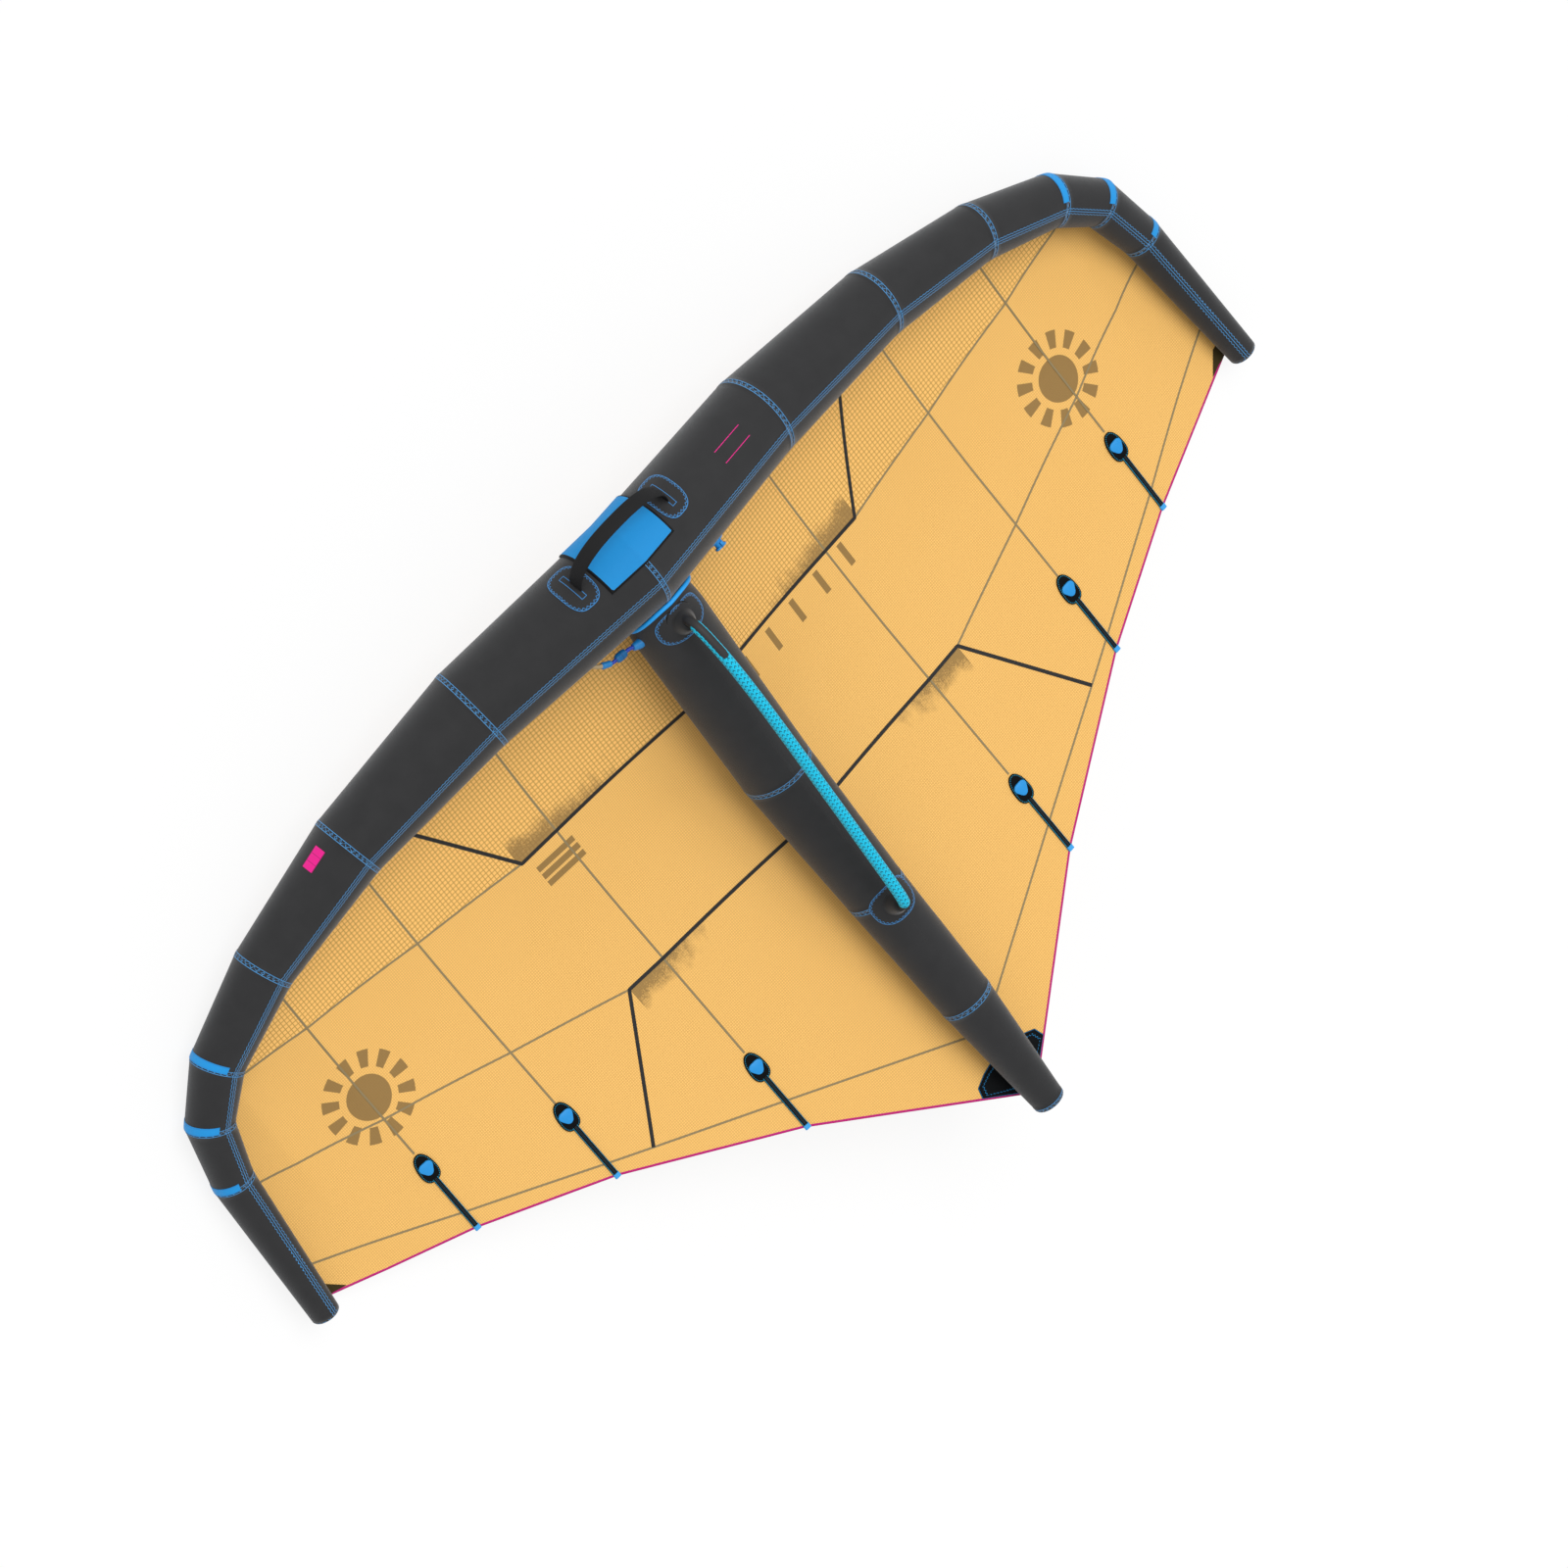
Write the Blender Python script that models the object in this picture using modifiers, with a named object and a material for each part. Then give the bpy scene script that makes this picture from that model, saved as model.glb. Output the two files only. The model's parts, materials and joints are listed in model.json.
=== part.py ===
"""Wingfoil wing: an inflatable hand wing of about 4.5 square metres, lying on its back as it is parked.

Everything is modelled in the wing's own frame, in metres: +X along the span, +Y rearward along the strut,
+Z to the rider's side, with the origin on the strut's axis where the strut leaves the leading edge. One
empty, the resting attitude, then tips the whole wing until its tubes really stand on the ground plane.
"""

import math

import bmesh
import bpy
import numpy as np
from mathutils import Matrix, Vector

# Overall size
HALF_SPAN = 1.656            # centre line of the leading edge at its tip
LEADING_EDGE_SWEEP = 0.978   # how far the tip lies behind the centre
LEADING_EDGE_DROP = 0.310    # how far the tip lies below the centre
LEADING_EDGE_FRONT = -0.190  # centre of the tube at mid-span, ahead of the origin
LEADING_EDGE_RISE = 0.036    # centre of the tube at mid-span, above the origin
LEADING_EDGE_RADIUS = 0.118
STRUT_LENGTH = 1.688
STRUT_RADIUS = 0.0989
STRUT_SAG = 0.0693           # the strut is bent like a shallow bow
STRUT_NOSE_LENGTH = 0.140    # how far its front end reaches into the leading edge
STRUT_OVERHANG = 0.011       # how far the strut's end passes the trailing edge
TAIL_CENTRE = STRUT_LENGTH - STRUT_OVERHANG
TAIL_RISE = 0.912            # how far the trailing edge comes forward on its way to the tip
TAIL_DROP = 0.2487           # drop of the trailing edge from mid-span to its last bend

# Ring seams of the leading edge, from mid-span to tip, as shares of the sizes above
RING_SPAN_SHARES = (0.0, 0.2998, 0.5570, 0.7574, 0.8911, 0.9534, 0.9783, 1.0)
RING_SWEEP_SHARES = (0.0, 0.0185, 0.0684, 0.1643, 0.2812, 0.3940, 0.5583, 1.0)
RING_DROP_SHARES = (0.0, 0.3181, 0.5139, 0.6945, 0.8494, 0.9219, 0.9781, 1.0)
RING_RADIUS_SHARES = (1.0, 0.967, 0.789, 0.642, 0.571, 0.5195, 0.449, 0.315)
# Ring seams of the strut, from nose to tail
STRUT_PLACE_SHARES = (0.0, 0.3169, 0.5679, 0.7877, 1.0)
STRUT_SAG_SHARES = (0.0, 1.0, 0.778, 0.26, 0.0)
STRUT_RADIUS_SHARES = (1.0, 0.9505, 0.803, 0.7017, 0.4206)
STRUT_NOSE_SHARE = 0.86      # radius of the hidden nose, of the strut's radius
STRUT_NOSE_RISE = 0.016      # centre of the hidden nose above the origin
# Bends of the trailing edge, from the centre to the last one before the tip
TAIL_SPAN_SHARES = (0.0, 0.2898, 0.5476, 0.7496, 0.8862)
TAIL_RISE_SHARES = (0.0, 0.3864, 0.6651, 0.8320, 0.9159)
TAIL_DROP_SHARES = (0.0, 0.3651, 0.6269, 0.8359, 1.0)
TAIL_TIP_SHARE = 0.96        # where the trailing edge meets the last leading-edge panel

# Cloth
CASING_WALL = 0.0012
BLADDER_WALL = 0.0005
BLADDER_ROOM = 0.0010        # between the casing and the bladder in it
CANOPY_THICKNESS = 0.0010
PATCH_THICKNESS = 0.0008
TAPE_THICKNESS = 0.0006
TAPE_WIDTH = 0.0055
TOUCH_GAP = 0.0003           # left between pieces that touch
MERGE_DISTANCE = 0.00001     # points nearer than this are one point
MID_SEAM_ROOM = 0.0004       # from the plane of symmetry to each half of the canopy
TUBE_SIDES = 32
SMOOTH_ANGLE = 35.0          # edges flatter than this are shaded smooth
SHARP_ANGLE = 60.0           # edges sharper than this are worn round
BLADDER_FRONT_SHARE = 0.68   # front end of the strut's bladder, between the hidden nose and the next ring

# Canopy: depth of the aerofoil below the straight line, at each ring seam
CAMBER = 0.060
CAMBER_SHARES = (1.55, 1.0, 0.76, 0.40, 0.17, 0.0)
CAMBER_TAIL_POWER = 1.5
BILLOW = 0.006               # cloth bellies out between two seams
CHORD_SHARES = (0.0, 0.05, 0.113, 0.2, 0.3, 0.394, 0.5, 0.6245, 1.0)
STRAIGHT_SHARE = 0.5         # behind this the battens hold the canopy straight
TIP_RING_SHARE = 0.3         # place of the last bend of the leading edge along the canopy's outer side
ATTACH_ANGLES = (-4.0, -10.0, -8.0, -5.0, 0.0, 6.0, 10.0, 14.0)  # degrees from the tube's underside
CANOPY_LIFT = 0.0008         # between the canopy and the tubes that it is sewn to
SHEET_ROOM = 0.0005          # between the canopy and a patch on it
STRUT_SEAM_ROOM = 0.0026     # between the strut's underside and the canopy, for the tail patch
SPLIT_COLUMN = 2             # ring seam at which the inner and outer canopy panels meet

# Ends of the tubes
TIP_CAP_HEIGHT = 0.010
STRUT_CAP_HEIGHT = 0.011
CAP_FLAT_SHARE = 0.45
CAP_SHOULDER_SHARE = 0.82
ROUND_SIDES = 24

# Batten pockets and battens
POCKET_WIDTH = 0.015
POCKET_HEIGHT = 0.0040
POCKET_START = 0.0075        # from the trailing edge to the pocket's rear end
BATTEN_WIDTH = 0.0105
BATTEN_THICKNESS = 0.0018
BATTEN_LENGTHS = (0.210, 0.209, 0.211)   # trailing edge to the cap's centre, from the strut outwards
HEAD_LENGTH = 0.085          # the pocket's rounded front patch
HEAD_WIDTH = 0.058
HEAD_THICKNESS = 0.0010
BATTEN_CAP_SIZE = 0.037
BATTEN_CAP_HEIGHT = 0.0050
HEAD_NARROW_SHARE = 0.24     # the head is that much narrower where the strip comes in
CAP_CORNER_SHARE = 0.12      # how far the cap's three corners stand out
TAB_LENGTH = 0.016
TAB_WIDTH = 0.0165
TAB_THICKNESS = 0.0016
SEAT_LIFT = 0.0012           # flat pieces over the canopy's shallow creases

# Carrying handle
HANDLE_ANGLE = 140.0         # degrees round the tube from its rear side, over the top
HANDLE_HALF_SPAN = 0.151
HANDLE_RISE = 0.108
STRAP_WIDTH = 0.033
STRAP_THICKNESS = 0.0048
HANDLE_PATCH_LENGTH = 0.140  # round the tube
HANDLE_PATCH_WIDTH = 0.082   # along the tube
HANDLE_PATCH_TURN = 3.0      # degrees from the strap's foot to the middle of its patch
PATCH_CORNER_SHARE = 0.20    # how far the corners of a sewn patch are drawn in
PAD_WIDTH_SHARE = 0.685      # of the handle's half span
PAD_ANGLES = (106.0, 208.0)
PAD_THICKNESS = 0.0050
PATCH_SIDE_ANGLE = 6.0       # half the angle of a casing's flat side, with a little to spare
PAD_SIDE_ANGLE = 5.0
ARCH_POWER_SHARES = (0.8, 0.9)   # how full the strap's arch is, sideways and upwards
STRAP_EDGE = 0.0012

# Hand grip over the strut: its route in the plane of symmetry, as (rearward, up)
GRIP_TUBE_RADIUS = 0.0115
GRIP_RADIUS = 0.0146
PLUG_RADIUS = 0.0100
PLUG_DEPTH = 0.014
FRONT_BASE_SHARE = -0.0148   # places of the two bases, of the strut's length
REAR_BASE_SHARE = 0.5806
BASE_RADIUS = 0.034
BASE_HEIGHT = 0.022
BASE_TOP_RADIUS = 0.0185
BASE_SHOULDER_SHARES = ((1.0, 0.0), (0.93, 0.35), (0.80, 0.72))   # of the base's radius and height
SOCKET_DEPTH = 0.016
GRIP_TOP = 0.184             # highest point of the grip's centre line, above the origin
GRIP_ROUTE_SHARES = ((0.0, 0.728), (0.006, 0.793), (0.020, 0.853), (0.051, 0.913), (0.108, 0.984),
                     (0.184, 1.0), (0.260, 0.987), (0.363, 0.935), (0.463, 0.870), (0.562, 0.799),
                     (0.657, 0.734), (0.751, 0.663), (0.840, 0.598), (0.910, 0.538), (0.960, 0.489),
                     (0.985, 0.446), (0.998, 0.385), (1.0, 0.316))   # (from front to rear base, of the top)
SLEEVE_FIRST = 4             # the sleeve covers the route between these two points
SLEEVE_LAST = 14
PATCH_HALF_WIDTHS = (0.080, 0.069)    # front and rear patch, round the strut
PATCH_HALF_LENGTHS = (0.044, 0.050)
PATCH_SHIFT = 0.003          # the patches sit a little ahead of their bases
STRUT_SIDE_ANGLE = 8.5       # half the angle of the strut casing's flat side, with room for a seam

# Inflation valve, transfer hose and clip
VALVE_PLACE = -0.205
VALVE_ANGLE = 16.0
VALVE_STEM_RADIUS = 0.0115
VALVE_BORE_RADIUS = 0.0070
VALVE_HEIGHT = 0.021
VALVE_FLANGE_RADIUS = 0.019
VALVE_FLANGE_THICKNESS = 0.0022
VALVE_CAP_RADIUS = 0.0125
VALVE_CAP_THICKNESS = 0.0050
VALVE_HINGE_OFFSET = 0.0150
VALVE_CAP_SHARES = ((0.0, 1.0), (0.86, 1.0), (1.0, 0.7), (1.0, 0.25), (0.97, 0.0), (0.0, 0.0))
VALVE_THROAT_SHARE = 0.9
CAP_STRAP_SHARES = (0.8, 0.15, 0.6)   # half width of the hinge, and its low and high side on the cap
HINGE_HALF = 0.004
EAR_DEPTH = 0.009
TUBE_RULE = 0.01             # stretch of tube over which the valve's seat is squared up
HOSE_RADIUS = 0.0055
CUFF_RADIUS = 0.0105
CUFF_NECK_SHARE = 0.9        # a cuff narrows towards the hose
HOSE_PLACE = 0.207           # where the hose enters the leading edge, from the strut's axis
HOSE_REACH = 0.085           # how far its front end lies ahead of the origin
HOSE_RISE = 0.039            # and how far above it
HOSE_ROUTE_SHARES = ((0.4348, -0.1882, 0.5128), (0.5121, -0.2000, 0.5385), (0.5797, -0.2588, 0.5641),
                     (0.6473, -0.3412, 0.5897), (0.8406, -0.4118, 0.6795), (0.9179, -0.4824, 0.7692),
                     (0.9758, -0.5882, 0.8718), (0.9952, -0.7647, 0.9487), (1.0, -1.0, 1.0))
CLIP_LENGTH = 0.026
CLIP_WIDTH = 0.024
CLIP_HEIGHT = 0.017
CLIP_SHARES = ((-0.5, 0.72), (-0.3, 1.0), (0.3, 1.0), (0.5, 0.72))   # along it, and its width there
PIPING_RADIUS = 0.0035
PIPING_ANGLES = (-20.0, 200.0)
PIPING_STEPS = 36
ROOM_STEPS = 22

# Reinforcement patches on the canopy
TIP_PATCH_LENGTH = 0.048
TIP_PATCH_WIDTH = 0.075
TAIL_PATCH_HALF_WIDTH = 0.115
TAIL_PATCH_LENGTH = 0.125
TAIL_PATCH_SIDE_SHARE = 0.30  # length of its outer ends, of its length
TAIL_PATCH_POWER = 1.5

SCENE_PARTS = "wingfoil_wing"
SCENE_CUTTERS = "cutters"


def unit(vector):
    vector = np.asarray(vector, dtype=float)
    return vector / np.linalg.norm(vector)


def turn(degrees):
    return math.radians(degrees)


def share_between(values, position):
    """Value of a list at a fractional index, with straight lines between its entries."""
    low = min(int(position), len(values) - 2)
    rest = position - low
    return values[low] * (1 - rest) + values[low + 1] * rest


def clear_scene():
    for thing in list(bpy.data.objects):
        bpy.data.objects.remove(thing, do_unlink=True)


def new_collection(name):
    collection = bpy.data.collections.new(name)
    bpy.context.scene.collection.children.link(collection)
    return collection


def new_material(name, colour, roughness, metallic=0.0):
    material = bpy.data.materials.new(name)
    material.use_nodes = True
    shader = material.node_tree.nodes["Principled BSDF"]
    shader.inputs["Base Color"].default_value = (*colour, 1.0)
    shader.inputs["Roughness"].default_value = roughness
    shader.inputs["Metallic"].default_value = metallic
    return material


CHARCOAL = (0.030, 0.030, 0.032)
AMBER = (0.91, 0.52, 0.15)
BRIGHT_BLUE = (0.03, 0.35, 0.87)
BLACK = (0.008, 0.009, 0.010)
MAGENTA = (0.58, 0.02, 0.21)
TURQUOISE = (0.02, 0.55, 0.70)
BLADDER_WHITE = (0.70, 0.72, 0.74)


def add_object(name, mesh, colour, roughness, metallic=0.0):
    """Make a named part of the wing with a material of its own, standing in the wing's frame."""
    thing = bpy.data.objects.new(name, mesh)
    PARTS.objects.link(thing)
    thing.parent = ATTITUDE
    mesh.materials.clear()
    mesh.materials.append(new_material(name + "_finish", colour, roughness, metallic))
    return thing


def add_cutter(name, mesh):
    thing = bpy.data.objects.new(name, mesh)
    CUTTERS.objects.link(thing)
    thing.parent = ATTITUDE
    thing.hide_render = True
    thing.display_type = "WIRE"
    return thing


def cut(thing, cutter, operation="DIFFERENCE"):
    modifier = thing.modifiers.new("cut_" + cutter.name, "BOOLEAN")
    modifier.operation = operation
    modifier.solver = "EXACT"
    modifier.object = cutter
    return modifier


def skin(name, points, faces):
    """Mesh from points and faces, with its faces turned outwards and round parts shaded smooth."""
    mesh = bpy.data.meshes.new(name)
    mesh.from_pydata([tuple(point) for point in points], [], faces)
    work = bmesh.new()
    work.from_mesh(mesh)
    bmesh.ops.recalc_face_normals(work, faces=work.faces)
    work.to_mesh(mesh)
    work.free()
    mesh.shade_smooth()
    mesh.set_sharp_from_angle(angle=turn(SMOOTH_ANGLE))
    return mesh


def loft(name, loops, closed=False):
    """Skin over a run of point loops; a closed run joins its last loop to its first, as a wall does."""
    count = len(loops[0])
    points = [point for loop in loops for point in loop]
    faces = []
    spans = len(loops) if closed else len(loops) - 1
    for row in range(spans):
        near = row * count
        far = ((row + 1) % len(loops)) * count
        for column in range(count):
            following = (column + 1) % count
            faces.append((near + column, near + following, far + following, far + column))
    if not closed:
        faces.append(tuple(range(count))[::-1])
        last = (len(loops) - 1) * count
        faces.append(tuple(last + column for column in range(count)))
    return skin(name, points, faces)


def open_sheet(name, rows, outside):
    """Open surface through rows of points: a grid whose points are moved to their places.

    The faces are turned towards the given direction, and every four-cornered field is halved the same way.
    """
    columns = len(rows) - 1
    lines = len(rows[0]) - 1
    work = bmesh.new()
    bmesh.ops.create_grid(work, x_segments=columns, y_segments=lines, size=0.5)
    for vertex in work.verts:
        column = round((vertex.co.x + 0.5) * columns)
        line = round((vertex.co.y + 0.5) * lines)
        vertex.co = Vector(rows[column][line])
    bmesh.ops.triangulate(work, faces=work.faces, quad_method="FIXED")
    work.normal_update()
    facing = Vector((0.0, 0.0, 0.0))
    for face in work.faces:
        facing += face.normal * face.calc_area()
    if facing.dot(Vector(outside)) < 0:
        bmesh.ops.reverse_faces(work, faces=work.faces)
    mesh = bpy.data.meshes.new(name)
    work.to_mesh(mesh)
    work.free()
    mesh.shade_smooth()
    return mesh


def thicken(thing, thickness, offset):
    """Give an open sheet its thickness: outwards with offset 1, inwards with offset -1."""
    modifier = thing.modifiers.new("thickness", "SOLIDIFY")
    modifier.thickness = thickness
    modifier.offset = offset
    modifier.use_even_offset = True
    modifier.use_quality_normals = True
    return modifier


def rounded_patch(half_a, half_b, columns, lines, surface):
    """Rows of points of a rounded oblong on a curved surface: a square grid with its corners drawn in.

    surface(a, b) gives the point at patch coordinates a and b.
    """
    rows = []
    for column in range(columns + 1):
        u = 2 * column / columns - 1
        row = []
        for line in range(lines + 1):
            v = 2 * line / lines - 1
            a = half_a * u * math.sqrt(1 - PATCH_CORNER_SHARE * v * v)
            b = half_b * v * math.sqrt(1 - PATCH_CORNER_SHARE * u * u)
            row.append(surface(a, b))
        rows.append(row)
    return rows


def rounded_oblong(half_a, half_b, power, count):
    """Outline of a superellipse with the given half sizes."""
    outline = []
    for step in range(count):
        angle = 2 * math.pi * step / count
        cosine = math.cos(angle)
        sine = math.sin(angle)
        a = half_a * math.copysign(abs(cosine) ** (2 / power), cosine)
        b = half_b * math.copysign(abs(sine) ** (2 / power), sine)
        outline.append((a, b))
    return outline


class Tube:
    """Run of cone-shaped cloth panels through ring seams.

    Each ring is a circle in the plane that halves the bend there. Angles go round the tube from its inner or
    rear side (0 degrees) over the rider's side (90 degrees).
    """

    def __init__(self, centres, radii, first_normal):
        self.centres = [np.array(centre, dtype=float) for centre in centres]
        self.radii = list(radii)
        self.sides = []
        self.ups = []
        self.normals = []
        last = len(centres) - 1
        for ring in range(len(centres)):
            before = unit(self.centres[max(ring, 1)] - self.centres[max(ring, 1) - 1])
            after = unit(self.centres[min(ring, last - 1) + 1] - self.centres[min(ring, last - 1)])
            normal = unit(before + after)
            if ring == 0 and first_normal is not None:
                normal = np.array(first_normal, dtype=float)
            up = np.array((0.0, 0.0, 1.0))
            up = unit(up - normal * float(up @ normal))
            self.normals.append(normal)
            self.ups.append(up)
            self.sides.append(np.cross(up, normal))

    def on_ring(self, ring, angle, lift):
        reach = self.radii[ring] + lift
        direction = math.cos(angle) * self.sides[ring] + math.sin(angle) * self.ups[ring]
        return self.centres[ring] + reach * direction

    def point(self, place, angle, lift=0.0):
        """Point at a fractional ring number, at an angle in radians, lifted off the casing."""
        low = max(0, min(int(math.floor(place)), len(self.centres) - 2))
        rest = place - low
        return self.on_ring(low, angle, lift) * (1 - rest) + self.on_ring(low + 1, angle, lift) * rest

    def loop(self, ring, lift, sides, shift=0.0):
        """Loop of points round one ring seam, moved along the tube by a small shift."""
        step = 2 * math.pi / sides
        move = self.normals[ring] * shift
        return [self.on_ring(ring, step * side, lift) + move for side in range(sides)]


def mirrored(loops):
    flip = np.array((-1.0, 1.0, 1.0))
    return [[point * flip for point in loop] for loop in loops]


def leading_edge_tube():
    centres = []
    for span, sweep, drop in zip(RING_SPAN_SHARES, RING_SWEEP_SHARES, RING_DROP_SHARES):
        centres.append((HALF_SPAN * span, LEADING_EDGE_FRONT + LEADING_EDGE_SWEEP * sweep,
                        LEADING_EDGE_RISE - LEADING_EDGE_DROP * drop))
    radii = [LEADING_EDGE_RADIUS * share for share in RING_RADIUS_SHARES]
    return Tube(centres, radii, (1.0, 0.0, 0.0))


def strut_tube():
    centres = [(0.0, -STRUT_NOSE_LENGTH, STRUT_NOSE_RISE)]
    radii = [STRUT_RADIUS * STRUT_NOSE_SHARE]
    for place, sag, radius in zip(STRUT_PLACE_SHARES, STRUT_SAG_SHARES, STRUT_RADIUS_SHARES):
        centres.append((0.0, STRUT_LENGTH * place, -STRUT_SAG * sag))
        radii.append(STRUT_RADIUS * radius)
    return Tube(centres, radii, None)


LEADING_EDGE = leading_edge_tube()
STRUT = strut_tube()
LAST_RING = len(RING_SPAN_SHARES) - 1


def leading_edge_place(x):
    """Fractional ring number of the leading edge at a span position."""
    for ring in range(LAST_RING):
        near = LEADING_EDGE.centres[ring][0]
        far = LEADING_EDGE.centres[ring + 1][0]
        if abs(x) <= far:
            return ring + (abs(x) - near) / (far - near)
    return float(LAST_RING)


def leading_edge_point(x, angle, lift):
    """Point on the leading edge at a span position on either side."""
    point = LEADING_EDGE.point(leading_edge_place(x), angle, lift)
    return point * np.array((math.copysign(1.0, x), 1.0, 1.0))


def strut_place(y):
    """Fractional ring number of the strut at a rearward position."""
    for ring in range(len(STRUT.centres) - 1):
        near = STRUT.centres[ring][1]
        far = STRUT.centres[ring + 1][1]
        if y <= far:
            return ring + (y - near) / (far - near)
    return float(len(STRUT.centres) - 1)


def strut_underside(y):
    """Height of the strut's lowest line at a rearward position."""
    return float(STRUT.point(strut_place(y), turn(-90.0), 0.0)[2])


def strut_topside(y):
    return float(STRUT.point(strut_place(y), turn(90.0), 0.0)[2])


def casing_panel(tube, first, last, side_gap_first, side_gap_last):
    """Wall of one casing panel: outer loops out, inner loops back."""
    outer = []
    inner = []
    for ring in range(first, last + 1):
        shift = 0.0
        if ring == first:
            shift = side_gap_first
        if ring == last:
            shift = -side_gap_last
        outer.append(tube.loop(ring, 0.0, TUBE_SIDES, shift))
        inner.append(tube.loop(ring, -CASING_WALL, TUBE_SIDES, shift))
    return outer + inner[::-1]


def turned(thing, steps):
    """Turn a half profile, drawn from top to bottom, once round its own Z axis."""
    screw = thing.modifiers.new("turned", "SCREW")
    screw.axis = "Z"
    screw.angle = 2 * math.pi
    screw.steps = steps
    screw.render_steps = steps
    screw.use_merge_vertices = True
    screw.merge_threshold = MERGE_DISTANCE
    screw.use_smooth_shade = True
    return thing


def half_profile(name, outline, closed=False):
    """Half profile of a turned part: a chain of edges at +X, from its top to its bottom."""
    points = [(radius, 0.0, level) for radius, level in outline]
    edges = [(place, place + 1) for place in range(len(points) - 1)]
    if closed:
        edges.append((len(points) - 1, 0))
    mesh = bpy.data.meshes.new(name)
    mesh.from_pydata(points, edges, [])
    return mesh


def add_end_cap(name, tube, ring, height, flip):
    """Round cloth end: a shallow crowned disc with a flat middle, standing just off the tube's rim."""
    radius = tube.radii[ring]
    low = TOUCH_GAP
    outline = ((0.0, low + height), (radius * CAP_FLAT_SHARE, low + height),
               (radius * CAP_SHOULDER_SHARE, low + height * CAP_SHOULDER_SHARE),
               (radius, low + height * (1 - CAP_SHOULDER_SHARE)), (radius, low), (0.0, low))
    cap = add_object(name, half_profile(name, outline), CHARCOAL, 0.6)
    up = tube.ups[ring] * flip
    normal = tube.normals[ring] * flip
    cap.matrix_local = frame_matrix(tube.centres[ring] * flip, np.cross(up, normal), up, normal)
    return turned(cap, TUBE_SIDES)


def build_leading_edge():
    half_gap = TOUCH_GAP / 2
    for panel in range(LAST_RING):
        end_gap = half_gap
        if panel == LAST_RING - 1:
            end_gap = 0.0
        loops = casing_panel(LEADING_EDGE, panel, panel + 1, half_gap, end_gap)
        number = str(panel + 1)
        left = add_object("le_panel_left_" + number, loft("le_panel", loops, closed=True), CHARCOAL, 0.55)
        right = add_object("le_panel_right_" + number, loft("le_panel", mirrored(loops), closed=True),
                           CHARCOAL, 0.55)
        if panel == 0:
            cut(right, VALVE_HOLE)
            cut(left, HOSE_HOLE)
    for side, hand in (("left", 1.0), ("right", -1.0)):
        add_end_cap("le_tip_cap_" + side, LEADING_EDGE, LAST_RING, TIP_CAP_HEIGHT, np.array((hand, 1.0, 1.0)))

    reach = -CASING_WALL - BLADDER_ROOM
    half = [LEADING_EDGE.loop(ring, reach, TUBE_SIDES) for ring in range(LAST_RING + 1)]
    half[-1] = [point + LEADING_EDGE.normals[LAST_RING] * reach for point in half[-1]]
    balloon = loft("le_bladder", mirrored(half)[::-1][:-1] + half)
    thing = add_object("le_bladder", balloon, BLADDER_WHITE, 0.3)
    thicken(thing, BLADDER_WALL, -1.0)
    cut(thing, VALVE_HOLE)
    cut(thing, HOSE_HOLE)


def build_strut():
    half_gap = TOUCH_GAP / 2
    last = len(STRUT.centres) - 1
    spans = ((0, 2), (2, 3), (3, 4), (4, last))
    for number, (first, final) in enumerate(spans, start=1):
        start_gap = 0.0 if first == 0 else half_gap
        end_gap = 0.0 if final == last else half_gap
        loops = casing_panel(STRUT, first, final, start_gap, end_gap)
        panel = loft("strut_panel", loops, closed=True)
        thing = add_object("strut_panel_" + str(number), panel, CHARCOAL, 0.55)
        if number == 1:
            cut(thing, LEADING_EDGE_ENVELOPE)
            cut(thing, STRUT_INLET)
    add_end_cap("strut_end_cap", STRUT, last, STRUT_CAP_HEIGHT, np.ones(3))

    reach = -CASING_WALL - BLADDER_ROOM
    loops = [STRUT.loop(ring, reach, TUBE_SIDES) for ring in range(last + 1)]
    loops[0] = [nose * (1 - BLADDER_FRONT_SHARE) + root * BLADDER_FRONT_SHARE
                for nose, root in zip(loops[0], loops[1])]
    loops[0] = [point - STRUT.normals[0] * reach for point in loops[0]]
    loops[-1] = [point + STRUT.normals[last] * reach for point in loops[-1]]
    thing = add_object("strut_bladder", loft("strut_bladder", loops), BLADDER_WHITE, 0.3)
    thicken(thing, BLADDER_WALL, -1.0)
    cut(thing, STRUT_INLET)
    build_piping()


def crease_point(angle):
    """Point beside both tubes, where a piping of the given radius lies in the crease between them."""
    off = PIPING_RADIUS + TOUCH_GAP * 2
    low = -STRUT_NOSE_LENGTH
    high = STRUT_RADIUS
    for _ in range(40):
        middle = (low + high) / 2
        point = STRUT.point(strut_place(middle), angle, off)
        if leading_edge_distance(point) < off:
            low = middle
        else:
            high = middle
    return STRUT.point(strut_place(high), angle, off)


def leading_edge_distance(point):
    """Distance of a point from the leading edge's casing near mid-span."""
    near = LEADING_EDGE.centres[0]
    far = LEADING_EDGE.centres[1] * np.array((math.copysign(1.0, point[0]), 1.0, 1.0))
    along = far - near
    share = float((point - near) @ along) / float(along @ along)
    axis_point = near + along * share
    radius = share_between(LEADING_EDGE.radii, abs(share))
    return float(np.linalg.norm(point - axis_point)) - radius


def crease_path(steps):
    first = turn(PIPING_ANGLES[0])
    last = turn(PIPING_ANGLES[1])
    return [crease_point(first + (last - first) * step / steps) for step in range(steps + 1)]


def build_piping():
    """Blue piping in the crease, over the rider's side of the joint."""
    path = crease_path(PIPING_STEPS)
    piping = rod("strut_root_piping", path, [PIPING_RADIUS] * len(path))
    add_object("strut_root_piping", piping, BRIGHT_BLUE, 0.45)


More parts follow.
